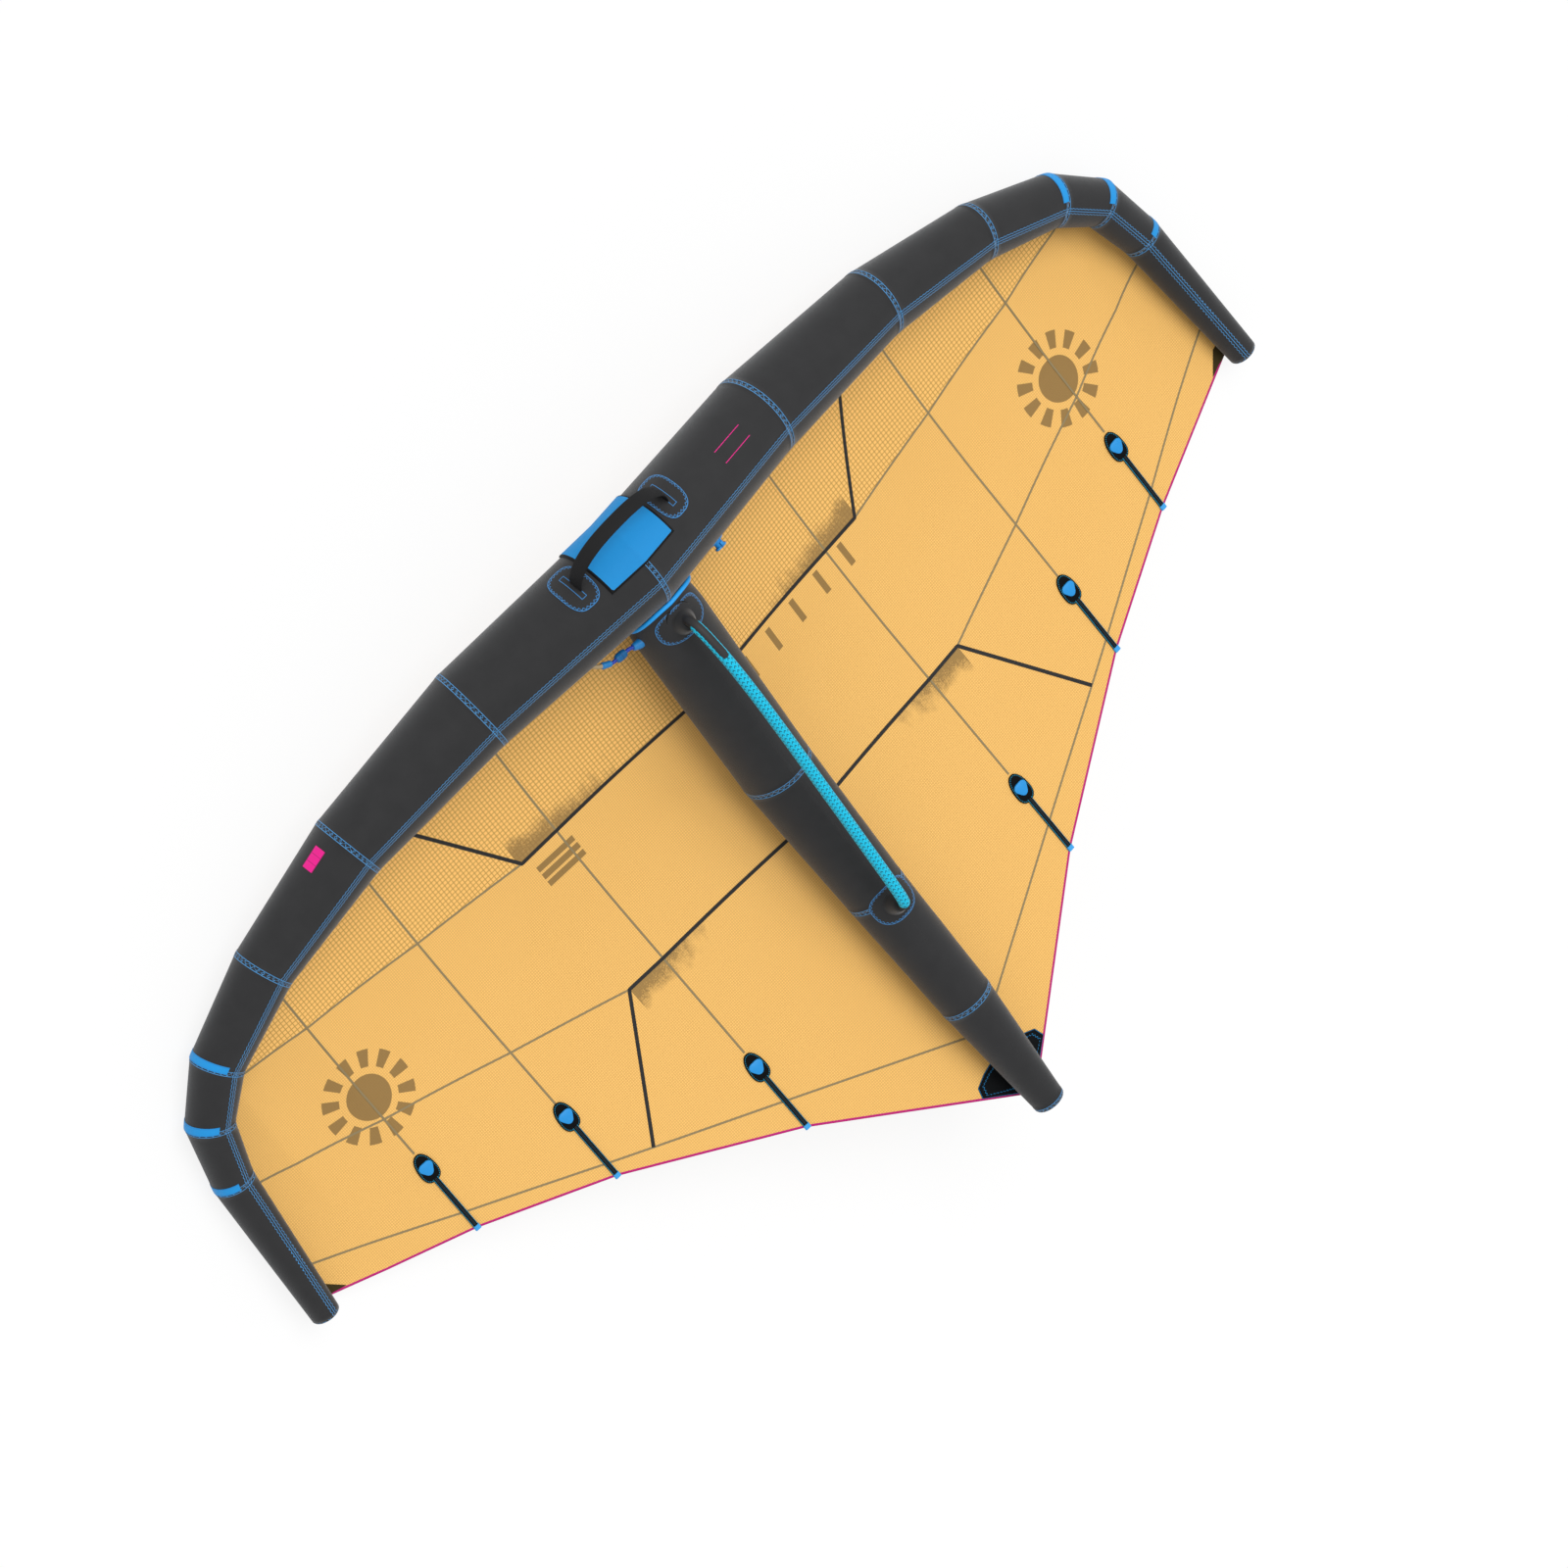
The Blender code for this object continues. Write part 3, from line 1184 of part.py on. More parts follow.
def lower_hull(points):
    """Lower side of the convex outline of points in a plane, from left to right."""
    hull = []
    for point in sorted(points):
        while len(hull) > 1:
            (left, low), (right, high) = hull[-2:]
            if (right - left) * (point[1] - low) > (high - low) * (point[0] - left):
                break
            hull.pop()
        hull.append(point)
    return hull


def resting_pitch(corners, balance):
    """Tilt of the lowest line, seen from the side, on which the balance point stands steady."""
    hull = lower_hull([(corner[1], corner[2]) for corner in corners])
    steady = []
    for (left, low), (right, high) in zip(hull, hull[1:]):
        along = unit((right - left, high - low))
        share = float(along @ np.array((balance[1] - left, balance[2] - low)))
        if 0 <= share <= math.hypot(right - left, high - low):
            steady.append(math.atan2(high - low, right - left))
    return min(steady, key=abs)


def rotate_about_x(points, angle):
    turned_points = points.copy()
    turned_points[:, 1] = points[:, 1] * math.cos(angle) - points[:, 2] * math.sin(angle)
    turned_points[:, 2] = points[:, 1] * math.sin(angle) + points[:, 2] * math.cos(angle)
    return turned_points


clear_scene()
PARTS = new_collection(SCENE_PARTS)
CUTTERS = new_collection(SCENE_CUTTERS)
ATTITUDE = bpy.data.objects.new("resting_attitude", None)
PARTS.objects.link(ATTITUDE)

LEADING_EDGE_ENVELOPE = envelope("leading_edge_envelope", LEADING_EDGE, 0, 2, TOUCH_GAP, True)
STRUT_CASING_ENVELOPE = envelope("strut_casing_envelope", STRUT, 0, len(STRUT.centres) - 1, TOUCH_GAP, False)
PATCH_ROOM = STRUT_RADIUS * (1 - math.cos(turn(STRUT_SIDE_ANGLE))) + PATCH_THICKNESS + TOUCH_GAP * 3
STRUT_ENVELOPE = envelope("strut_envelope", STRUT, 0, len(STRUT.centres) - 1, PATCH_ROOM, False, 64)
HOSE_ROUTE = [np.array((HOSE_PLACE * out, HOSE_REACH * back, HOSE_RISE * up))
              for out, back, up in HOSE_ROUTE_SHARES]
VALVE_HOLE = cylinder_cutter("valve_hole", valve_frame(), VALVE_STEM_RADIUS, -VALVE_STEM_RADIUS,
                             VALVE_STEM_RADIUS)
ENTRY_PLACE = frame_matrix(HOSE_ROUTE[-1], (1.0, 0.0, 0.0), (0.0, 0.0, 1.0), (0.0, -1.0, 0.0))
HOSE_HOLE = cylinder_cutter("hose_hole", ENTRY_PLACE, HOSE_RADIUS, -CUFF_RADIUS, CUFF_RADIUS)
INLET_PLACE = frame_matrix((STRUT_RADIUS, HOSE_ROUTE[0][1], HOSE_ROUTE[0][2]), (0.0, 1.0, 0.0),
                           (0.0, 0.0, 1.0), (1.0, 0.0, 0.0))
STRUT_INLET = cylinder_cutter("strut_inlet", INLET_PLACE, HOSE_RADIUS, -CUFF_RADIUS, CUFF_RADIUS)
PIPING_PATH = crease_path(ROOM_STEPS)
PIPING_ROOM = add_cutter("piping_room", rod("piping_room", PIPING_PATH,
                                            [PIPING_RADIUS + TOUCH_GAP * 2] * len(PIPING_PATH)))

build_leading_edge()
build_strut()
build_canopy()
build_battens()
build_canopy_patches()
build_handle()
build_grip()
build_valve()
build_hose()
bpy.context.view_layer.update()
settle()
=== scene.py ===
"""The wingfoil wing as it is dressed for the picture: an inflatable hand wing lying on its back.

All shapes are worked out in the wing's own frame, in metres: +X along the span, +Y rearward along the strut,
+Z to the rider's side, with the origin where the strut leaves the leading edge. One turn and shift, read from
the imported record, takes them to the place where the wing rests.
"""

import json
import math

import bmesh
import bpy
import numpy as np
from mathutils import Matrix


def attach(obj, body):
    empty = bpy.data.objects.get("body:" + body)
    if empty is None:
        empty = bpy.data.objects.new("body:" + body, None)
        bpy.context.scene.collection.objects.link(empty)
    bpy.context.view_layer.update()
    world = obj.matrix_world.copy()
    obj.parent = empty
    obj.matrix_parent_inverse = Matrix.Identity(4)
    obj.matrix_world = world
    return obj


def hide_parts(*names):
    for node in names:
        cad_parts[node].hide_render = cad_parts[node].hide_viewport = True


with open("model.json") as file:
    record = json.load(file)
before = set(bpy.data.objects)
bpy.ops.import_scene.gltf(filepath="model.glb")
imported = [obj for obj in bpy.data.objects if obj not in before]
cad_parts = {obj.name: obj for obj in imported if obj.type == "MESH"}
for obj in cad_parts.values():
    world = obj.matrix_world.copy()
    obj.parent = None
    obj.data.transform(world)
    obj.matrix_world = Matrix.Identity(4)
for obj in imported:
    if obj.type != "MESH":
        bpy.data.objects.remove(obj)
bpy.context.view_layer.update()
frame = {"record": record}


# ---------------------------------------------------------------------------------------------------------
# Leading edge: a bent tube of seven cone-shaped panels of black polyester sailcloth on each side.
# The panels are lapped and sewn with blue thread at the ring seams, and closed along one long seam on top.

MOUNTS = {mount["name"]: mount for mount in frame["record"]["mounts"]}
_, TILT_SINE, TILT_COSINE = MOUNTS["front_grip_seat"]["axis"]
TURN = np.array(((1.0, 0.0, 0.0), (0.0, TILT_COSINE, TILT_SINE), (0.0, -TILT_SINE, TILT_COSINE)))
STRUT_END_SEAT = np.array((0.0, 1.69929, 0.00057))
SHIFT = np.array(MOUNTS["strut_end"]["pos_m"]) - TURN @ STRUT_END_SEAT


def at_rest(points):
    """Points of the wing's own frame, turned and shifted to where the wing lies."""
    return np.asarray(points) @ TURN.T + SHIFT


def mirrored(points):
    """The same points on the right wing half."""
    return points * np.array((-1.0, 1.0, 1.0))


def unit(vectors):
    """Vectors of length 1 in the same directions."""
    return vectors / np.maximum(np.linalg.norm(vectors, axis=-1, keepdims=True), 1e-12)


def way_along(points):
    """Distance of each point of a path from the first one, measured along the path."""
    return np.concatenate([[0.0], np.cumsum(np.linalg.norm(np.diff(points, axis=0), axis=1))])


def hand_of(x):
    """Factors that carry points of the left half to the side of the wing on which x lies."""
    sign = np.where(x < 0, -1.0, 1.0)
    return np.stack([sign, np.ones(sign.shape), np.ones(sign.shape)], axis=-1)


class Tube:
    """Run of cone-shaped cloth panels between ring seams.

    Each ring is a circle in the plane that halves the bend there. A point at a fractional ring number and an
    angle lies on the straight line between the two circles' points at that angle. Angles go round from the
    inner or rear side over the rider's side.
    """

    def __init__(self, centres, radii, first_normal=None):
        self.centres = np.array(centres, dtype=float)
        self.radii = np.array(radii, dtype=float)
        legs = unit(np.diff(self.centres, axis=0))
        self.normals = unit(np.vstack([legs[:1], legs[:-1] + legs[1:], legs[-1:]]))
        if first_normal is not None:
            self.normals[0] = first_normal
        self.ups = unit(np.array((0.0, 0.0, 1.0)) - self.normals * self.normals[:, 2:])
        self.sides = np.cross(self.ups, self.normals)
        self.lengths = np.linalg.norm(np.diff(self.centres, axis=0), axis=1)

    def point(self, place, angle, lift=0.0):
        """Points at fractional ring numbers and angles, lifted off the cloth."""
        place, angle, lift = np.broadcast_arrays(place, angle, lift)
        low = np.clip(np.floor(place).astype(int), 0, len(self.radii) - 2)
        rest = (place - low)[..., None]
        ends = []
        for ring in (low, low + 1):
            reach = (self.radii[ring] + lift)[..., None]
            way = np.cos(angle)[..., None] * self.sides[ring] + np.sin(angle)[..., None] * self.ups[ring]
            ends.append(self.centres[ring] + reach * way)
        return ends[0] * (1 - rest) + ends[1] * rest


HALF_SPAN, SWEEP, DROP = 1.656, 0.978, 0.310
RING_SPANS = np.array((0.0, 0.2998, 0.5570, 0.7574, 0.8911, 0.9534, 0.9783, 1.0))
RING_SWEEPS = np.array((0.0, 0.0185, 0.0684, 0.1643, 0.2812, 0.3940, 0.5583, 1.0))
RING_DROPS = np.array((0.0, 0.3181, 0.5139, 0.6945, 0.8494, 0.9219, 0.9781, 1.0))
# The cloth of the two middle panels stands up to 7 mm proud of the solid model, as the photograph shows.
SOLID_RADIUS, PROUD_SHARE = 0.118, 0.06
RING_RADII = SOLID_RADIUS * np.array((1.0 + PROUD_SHARE, 0.967, 0.789, 0.642, 0.571, 0.5195, 0.449,
                                      0.315))
EDGE = Tube(np.stack([HALF_SPAN * RING_SPANS, SWEEP * RING_SWEEPS - 0.190, 0.036 - DROP * RING_DROPS], axis=1),
            RING_RADII, (1.0, 0.0, 0.0))
LAST_RING = len(RING_SPANS) - 1
LONG_SEAM = math.radians(75.0)
BAND = 0.0085                # half the width of a lapped and sewn seam
BAND_LIFT = 0.0006
CASING_WALL = 0.0012


def linear(hex_colour):
    """Blender's linear colour for an sRGB hex value."""
    shown = np.array([int(hex_colour[place:place + 2], 16) / 255 for place in (1, 3, 5)])
    linear_parts = np.where(shown <= 0.04045, shown / 12.92, ((shown + 0.055) / 1.055) ** 2.4)
    return (*linear_parts.tolist(), 1.0)


def node(material, kind, *values, **settings):
    """Add one node with its settings and links, and give its first output.

    kind is the node's type or, in capitals, the operation of a Math node. The values feed its sockets in order,
    or by the names or numbers in one dict. The settings are its other properties.
    """
    if kind.isupper():
        kind, settings["operation"] = "Math", kind
    made = material.node_tree.nodes.new("ShaderNode" + kind)
    for name, value in settings.items():
        setattr(made, name, value)
    inputs = values[0] if values and isinstance(values[0], dict) else dict(enumerate(values))
    for socket, value in inputs.items():
        if isinstance(value, bpy.types.NodeSocket):
            material.node_tree.links.new(value, made.inputs[socket])
        else:
            made.inputs[socket].default_value = value
    return made.outputs[0]


def new_finish(name, colour, roughness, **settings):
    """New material and its Principled shader, with the named sockets set."""
    material = bpy.data.materials.new(name)
    material.use_nodes = True
    shader = material.node_tree.nodes["Principled BSDF"]
    shader.inputs["Base Color"].default_value = linear(colour)
    shader.inputs["Roughness"].default_value = roughness
    for socket, value in settings.items():
        shader.inputs[socket.replace("_", " ")].default_value = value
    return material, shader


def tint(material, shader, mask, colour):
    """Paint a colour over the shader's present one where the mask is 1."""
    socket = shader.inputs["Base Color"]
    under = socket.links[0].from_socket if socket.links else socket.default_value[:]
    mix = node(material, "Mix", {0: mask, 6: under, 7: linear(colour)}, data_type="RGBA")
    material.node_tree.links.new(mix.node.outputs[2], socket)


def emboss(material, shader, height, distance):
    """Feed a height to the shader's bump, on top of any bump before it."""
    socket = shader.inputs["Normal"]
    bump = node(material, "Bump", {"Height": height, "Distance": distance, "Strength": 1.0})
    if socket.links:
        material.node_tree.links.new(socket.links[0].from_socket, bump.node.inputs["Normal"])
    material.node_tree.links.new(bump, socket)


def ripple(material, way, pitch):
    """Sine of a distance, one full wave to each pitch."""
    return node(material, "SINE", node(material, "MULTIPLY", way, 2 * math.pi / pitch))


def zigzag(material, along, period, reach):
    """Triangle wave of the distance along a seam, from -reach to +reach."""
    fold = node(material, "PINGPONG", along, period / 2)
    return node(material, "MULTIPLY_ADD", fold, 4 * reach / period, -reach)


def uv(material, name):
    """The two numbers of one of the piece's own UV maps."""
    first = node(material, "SeparateXYZ", node(material, "UVMap", uv_map=name))
    return first, first.node.outputs[1]


def woven(material, shader, name, pitch, depth=0.0001):
    """Plain weave along one of the piece's own UV maps, whose two numbers it gives.

    The bump is that of crossing threads: a sine of the given pitch one way times the same sine the other way.
    """
    first, second = uv(material, name)
    threads = node(material, "MULTIPLY", ripple(material, first, pitch), ripple(material, second, pitch))
    emboss(material, shader, threads, depth)
    return first, second


# Every weave on the wing is drawn coarser than its real threads, which are 0.25 to 0.4 mm apart.
SAIL_WEAVE, BAND_WEAVE, LABEL_WEAVE, TAPE_WEAVE = 0.0026, 0.0024, 0.0022, 0.0016

CLOUD_SIZE = 0.045
# Sailcloth of woven polyester, dyed black and pressed smooth: a low sheen, faint clouds, a fine weave and blue
# stitching. The thread is 0.7 mm thick and is drawn 1.5 mm wide, so that it shows. Compare gives 1 where its
# first value lies within the third of the second.
SAILCLOTH, shader = new_finish("black_polyester_sailcloth", "#2A2A2B", 0.62, Sheen_Weight=0.55,
                               Sheen_Roughness=0.45, Sheen_Tint=linear("#B4B6B8"), Specular_IOR_Level=0.12)
round_way, from_first = woven(SAILCLOTH, shader, "weave", SAIL_WEAVE)
from_long_seam, from_last = uv(SAILCLOTH, "seams")
nearer_first = node(SAILCLOTH, "LESS_THAN", node(SAILCLOTH, "ADD", from_first, from_last), 0.0)
from_ring = node(SAILCLOTH, "Mix", {0: nearer_first, 2: from_last, 3: from_first})
THREAD = 0.00075             # half the drawn width of a thread
RING_LINE, LONG_LINE = 0.0057, 0.0066         # from a seam to the straight threads beside it
stitches = node(SAILCLOTH, "COMPARE", node(SAILCLOTH, "ABSOLUTE", from_ring), RING_LINE, THREAD)
wave = zigzag(SAILCLOTH, round_way, 0.0150, 0.0038)
line = node(SAILCLOTH, "COMPARE", node(SAILCLOTH, "SUBTRACT", from_ring, wave), 0.0, THREAD * 1.2)
stitches = node(SAILCLOTH, "MAXIMUM", stitches, line)
wave = zigzag(SAILCLOTH, from_first, 0.0115, 0.0014)
away = node(SAILCLOTH, "ABSOLUTE", from_long_seam)
line = node(SAILCLOTH, "COMPARE", node(SAILCLOTH, "SUBTRACT", away, wave), LONG_LINE, THREAD)
stitches = node(SAILCLOTH, "MAXIMUM", stitches, line)
stitches = node(SAILCLOTH, "MAXIMUM", stitches, node(SAILCLOTH, "COMPARE", away, 0.0, THREAD))
own_place = node(SAILCLOTH, "TexCoord").node.outputs["Object"]
cloudy = node(SAILCLOTH, "TexNoise", {"Vector": own_place, "Scale": 1 / CLOUD_SIZE, "Detail": 3.0})
patchy = node(SAILCLOTH, "MULTIPLY_ADD", cloudy, 0.9, -0.1)
tint(SAILCLOTH, shader, patchy, "#323233")
tint(SAILCLOTH, shader, stitches, "#4A96D2")
emboss(SAILCLOTH, shader, stitches, 0.0006)

SHARP_ANGLE = math.radians(40.0)


def make_piece(name, patches, finish, replaces=(), body="wing"):
    """One piece of the wing from patches, each a grid of points with its UV maps and a point inside it.

    Every field between four neighbouring points is a face. The faces of a patch are turned away from the
    given inside, which is one point, or one for each row. Points that coincide, at a seam or pole, are welded.
    """
    vertices, faces, pairs, start = [], [], {}, 0
    for points, maps, inside in patches:
        rows, columns = points.shape[:2]
        index = start + np.arange(rows * columns).reshape(rows, columns)
        corners = np.stack([index[:-1, :-1], index[1:, :-1], index[1:, 1:], index[:-1, 1:]], axis=-1)
        middle = (points[:-1, :-1] + points[1:, :-1] + points[1:, 1:] + points[:-1, 1:]) / 4
        facing = np.cross(points[1:, 1:] - points[:-1, :-1], points[:-1, 1:] - points[1:, :-1])
        if inside is None:
            inside = points.mean(axis=1, keepdims=True)
            inside = (inside[:-1] + inside[1:]) / 2
        if (facing * (middle - inside)).sum() < 0:
            corners = corners[..., ::-1]
        corners = corners.reshape(-1, 4)
        vertices.append(points.reshape(-1, 3))
        faces.append(corners)
        for key, values in maps.items():
            pairs.setdefault(key, []).append(np.broadcast_to(values, (rows, columns, 2)).reshape(-1, 2))
        start += rows * columns
    faces = np.concatenate(faces)
    mesh = bpy.data.meshes.new(name)
    mesh.from_pydata(at_rest(np.concatenate(vertices)).tolist(), [], faces.tolist())
    for key, values in pairs.items():
        layer = mesh.uv_layers.new(name=key)
        layer.uv.foreach_set("vector", np.concatenate(values)[faces.reshape(-1)].astype(np.float32).reshape(-1))
    work = bmesh.new()
    work.from_mesh(mesh)
    bmesh.ops.remove_doubles(work, verts=work.verts, dist=1e-6)
    work.to_mesh(mesh)
    work.free()
    mesh.shade_smooth()
    mesh.set_sharp_from_angle(angle=SHARP_ANGLE)
    mesh.materials.append(finish)
    piece = bpy.data.objects.new(name, mesh)
    bpy.context.scene.collection.objects.link(piece)
    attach(piece, body)
    if replaces:
        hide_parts(*([replaces] if isinstance(replaces, str) else replaces))
    return piece


def wall(piece, thickness):
    """Give an open cloth surface its thickness, inwards."""
    modifier = piece.modifiers.new("thickness", "SOLIDIFY")
    modifier.thickness = thickness
    modifier.offset = -1.0


def pair(u, v):
    """The two numbers of a UV map, side by side."""
    return np.stack(np.broadcast_arrays(u, v), axis=-1)


# The angles of the columns round a panel: three at each side of its long seam, even ones between them
PANEL_TURNS = np.concatenate([np.zeros(3), np.linspace(0.12, 2 * math.pi - 0.12, 70), np.full(3, 2 * math.pi)])


def casing_patch(tube, first, last, front=0.0, seam_angle=None, hem_first=True, hem_last=True):
    """Cone-shaped panel between two rings, as a grid: rows along it, columns round it.

    The cloth stands a little proud in a band along each ring seam and along the long seam, which has no band
    where it is put at another angle, out of sight. front is how far the panel starts behind its first ring, at
    each angle. The UV maps hold, in metres, the way round and the way from the first ring, and the way from the
    long seam and from the last ring.
    """
    length = tube.lengths[first:last].sum()
    ends = np.array((0.0, BAND, BAND + 0.0010))
    middle = np.linspace(0.02, length - 0.02, max(int(length / 0.018), 4))
    along = np.concatenate([ends, middle, length - ends[::-1]])[:, None]
    edges = np.array((-BAND - 0.0010, -BAND, 0.0, BAND, BAND + 0.0010))
    extra = np.concatenate([edges[2:], np.zeros(len(PANEL_TURNS) - 6), edges[:3]])
    marks = way_along(tube.centres[first:last + 1])
    along = front + along * (length - front) / length
    place = first + np.interp(along, marks, np.arange(last - first + 1))
    radius = np.interp(place, np.arange(len(tube.radii)), tube.radii)
    turn = LONG_SEAM if seam_angle is None else seam_angle
    swing = PANEL_TURNS + extra / radius
    angle = turn + swing
    swing = np.where(swing > math.pi, swing - 2 * math.pi, swing)
    across = swing * radius
    proud = np.zeros(np.broadcast_shapes(along.shape, angle.shape))
    if seam_angle is None:
        proud = np.where(np.abs(across) < BAND + 0.0002, 1.0, proud)
    if hem_first:
        proud = np.where(along < BAND + 0.0002, 1.0, proud)
    if hem_last:
        proud = np.where(length - along < BAND + 0.0002, 1.0, proud)
    points = tube.point(place, angle, BAND_LIFT * proud)
    mean = float(tube.radii[first:last + 1].mean())
    far_seam = across if seam_angle is None else across * 0 + 1.0
    maps = {"weave": pair(swing * mean, along + (0.0 if hem_first else 0.03)),
            "seams": pair(far_seam, along - length - (0.0 if hem_last else 0.03))}
    return points, maps, None


def end_patch(tube, ring, height):
    """Crowned end: rows from the rim to the pole. The reach shrinks as a cosine, the rise grows as a sine."""
    swing = np.linspace(0.0, math.pi / 2, 14)[:, None]
    angle = np.linspace(0.0, 2 * math.pi, 97)[None, :]
    reach = tube.radii[ring] * np.cos(swing) ** 0.6
    way = np.cos(angle)[..., None] * tube.sides[ring] + np.sin(angle)[..., None] * tube.ups[ring]
    rise = (height * np.sin(swing))[..., None] * tube.normals[ring]
    points = tube.centres[ring] + reach[..., None] * way + rise
    from_rim = tube.radii[ring] - reach + height * np.sin(swing)
    maps = {"weave": pair(angle * tube.radii[ring], from_rim), "seams": pair(1.0, -0.2)}
    return points, maps, tube.centres[ring] - tube.normals[ring] * 0.1


def on_right(patch):
    """The same patch on the right wing half."""
    points, maps, inside = patch
    return mirrored(points), maps, None if inside is None else mirrored(np.asarray(inside))


def both_sides(patch):
    """The names of the two wing halves, each with the patch as it lies there."""
    return ("left", patch), ("right", on_right(patch))


for number in range(LAST_RING):
    patch = casing_patch(EDGE, number, number + 1, hem_last=number < LAST_RING - 1)
    for side, made in both_sides(patch):
        panel = make_piece(f"edge_casing_{side}_{number + 1}", [made], SAILCLOTH,
                           f"le_panel_{side}_{number + 1}")
        wall(panel, CASING_WALL)
TIP_CAP_HEIGHT = 0.0100
patch = end_patch(EDGE, LAST_RING, TIP_CAP_HEIGHT)
for side, made in both_sides(patch):
    wall(make_piece(f"edge_tip_end_{side}", [made], SAILCLOTH, f"le_tip_cap_{side}"), CASING_WALL)


# ---------------------------------------------------------------------------------------------------------
# Tip stripes: blue sailcloth tape sewn round the outer side of the leading edge, over its last three bends.
# Each starts just in front of the long seam and goes round the front to the underside.

STRIPE_HALF = 0.0092
STRIPE_LIFT = 0.0012
STRIPE_SHIFT = 0.0075        # how far a stripe's middle lies inboard of the bend's seam
# Insignia tape: a bright even blue with a low shine and a slightly darker stitch along each edge.
TAPE_BLUE, shader = new_finish("blue_insignia_tape", "#188FD6", 0.50, Specular_IOR_Level=0.3)
across, _ = woven(TAPE_BLUE, shader, "weave", SAIL_WEAVE)
edge_stitch = node(TAPE_BLUE, "COMPARE", node(TAPE_BLUE, "ABSOLUTE", across), STRIPE_HALF - 0.0018, 0.0006)
tint(TAPE_BLUE, shader, edge_stitch, "#1F7CC4")


def stripe_patch(ring):
    """Band centred on a ring seam: rows round the tube, columns across the band, its edges down on the cloth."""
    offset = np.array((-STRIPE_HALF, -STRIPE_HALF, -STRIPE_HALF * 0.5, 0.0, STRIPE_HALF * 0.5, STRIPE_HALF,
                       STRIPE_HALF))[None, :]
    lift = np.array((0.0, 1.0, 1.0, 1.0, 1.0, 1.0, 0.0))[None, :] * STRIPE_LIFT
    start = LONG_SEAM + 0.0240 / EDGE.radii[ring]
    angle = np.linspace(start, math.radians(272.0), 60)[:, None]
    lengths = np.where(offset < STRIPE_SHIFT, EDGE.lengths[ring - 1], EDGE.lengths[ring])
    points = EDGE.point(ring + (offset - STRIPE_SHIFT) / lengths, angle, lift)
    maps = {"weave": pair(offset, angle * EDGE.radii[ring])}
    return points, maps, EDGE.centres[ring]


for ring in (4, 5, 6):
    patch = stripe_patch(ring)
    for side, made in both_sides(patch):
        make_piece(f"tip_stripe_{side}_{ring - 3}", [made], TAPE_BLUE)


# ---------------------------------------------------------------------------------------------------------
# Size label: a plain magenta tab of coated cloth on the left front of the leading edge, with two sewn lines.
# It is glued and sewn flat on the casing, and carries no words.

LABEL_PLACE, LABEL_HALF_PLACE = 2.20, 0.080          # in ring numbers along the leading edge
LABEL_ANGLE, LABEL_HALF_TURN = math.radians(153.0), math.radians(10.5)
LABEL_HALF_WIDTH, LABEL_HALF_LENGTH, LABEL_LIFT = 0.0165, 0.0300, 0.0009
LINE_PLACE, LINE_HALF_PLACE, LINE_ANGLES = 0.72, 0.092, (128.7, 110.7)
LINE_HALF_TURN, LINE_HALF_WIDTH, LINE_HALF_LENGTH = 0.0075, 0.0009, 0.052
# Coated cloth: a strong magenta with a satin shine, two dark threads across it and darker long edges.
LABEL, shader = new_finish("magenta_coated_label", "#E01888", 0.5, Specular_IOR_Level=0.25)
across, along = woven(LABEL, shader, "weave", LABEL_WEAVE)
tint(LABEL, shader, node(LABEL, "COMPARE", node(LABEL, "ABSOLUTE", along), 0.0105, 0.0006), "#8E1258")
tint(LABEL, shader, node(LABEL, "GREATER_THAN", node(LABEL, "ABSOLUTE", across), 0.0150), "#B01470")
edge = np.concatenate([[-1.0], np.linspace(-1.0, 1.0, 9), [1.0]])
place, angle = LABEL_PLACE + LABEL_HALF_PLACE * edge[:, None], LABEL_ANGLE + LABEL_HALF_TURN * edge[None, :]
lift = np.full((11, 11), LABEL_LIFT)
lift[0] = lift[-1] = lift[:, 0] = lift[:, -1] = 0.0
maps = {"weave": pair(LABEL_HALF_WIDTH * edge[None, :], LABEL_HALF_LENGTH * edge[:, None])}
make_piece("size_label", [(EDGE.point(place, angle, lift), maps, EDGE.centres[2:4].mean(axis=0))], LABEL)

# Two plain magenta lines of heat-pressed film on the right half, about 0.1 m long, with nothing between them
film = []
for angle in LINE_ANGLES:
    angle = math.radians(angle) + LINE_HALF_TURN * edge[None, :]
    points = EDGE.point(LINE_PLACE + LINE_HALF_PLACE * edge[:, None], angle, lift / 2)
    maps = {"weave": pair(LINE_HALF_WIDTH * edge[None, :], LINE_HALF_LENGTH * edge[:, None])}
    film.append(on_right((points, maps, EDGE.centres[0])))
make_piece("heat_pressed_lines", film, LABEL)


# ---------------------------------------------------------------------------------------------------------
# Strut: the straight tube from the leading edge to the trailing edge, of the same cloth in four panels.
# It is sewn to the leading edge round a crease, and its tail is closed by a round end.

STRUT_LENGTH, STRUT_RADIUS, STRUT_SAG = 1.688, 0.0989, 0.0693
STRUT_PLACES = np.array((0.0, 0.3169, 0.5679, 0.7877, 1.0))
STRUT_SAGS = np.array((0.0, 1.0, 0.778, 0.26, 0.0))
STRUT_RADII = np.array((1.0, 0.9505, 0.803, 0.7017, 0.4206))
NOSE_LENGTH = 0.140
strut_centres = [(0.0, -NOSE_LENGTH, 0.016)] + [(0.0, STRUT_LENGTH * place, -STRUT_SAG * sag)
                                                for place, sag in zip(STRUT_PLACES, STRUT_SAGS)]
STRUT = Tube(strut_centres, np.concatenate([[0.86], STRUT_RADII]) * STRUT_RADIUS)
STRUT_CAP_HEIGHT = 0.011


def strut_place(y):
    """Fractional ring number of the strut at a rearward position."""
    return np.interp(y, STRUT.centres[:, 1], np.arange(len(STRUT.radii)))


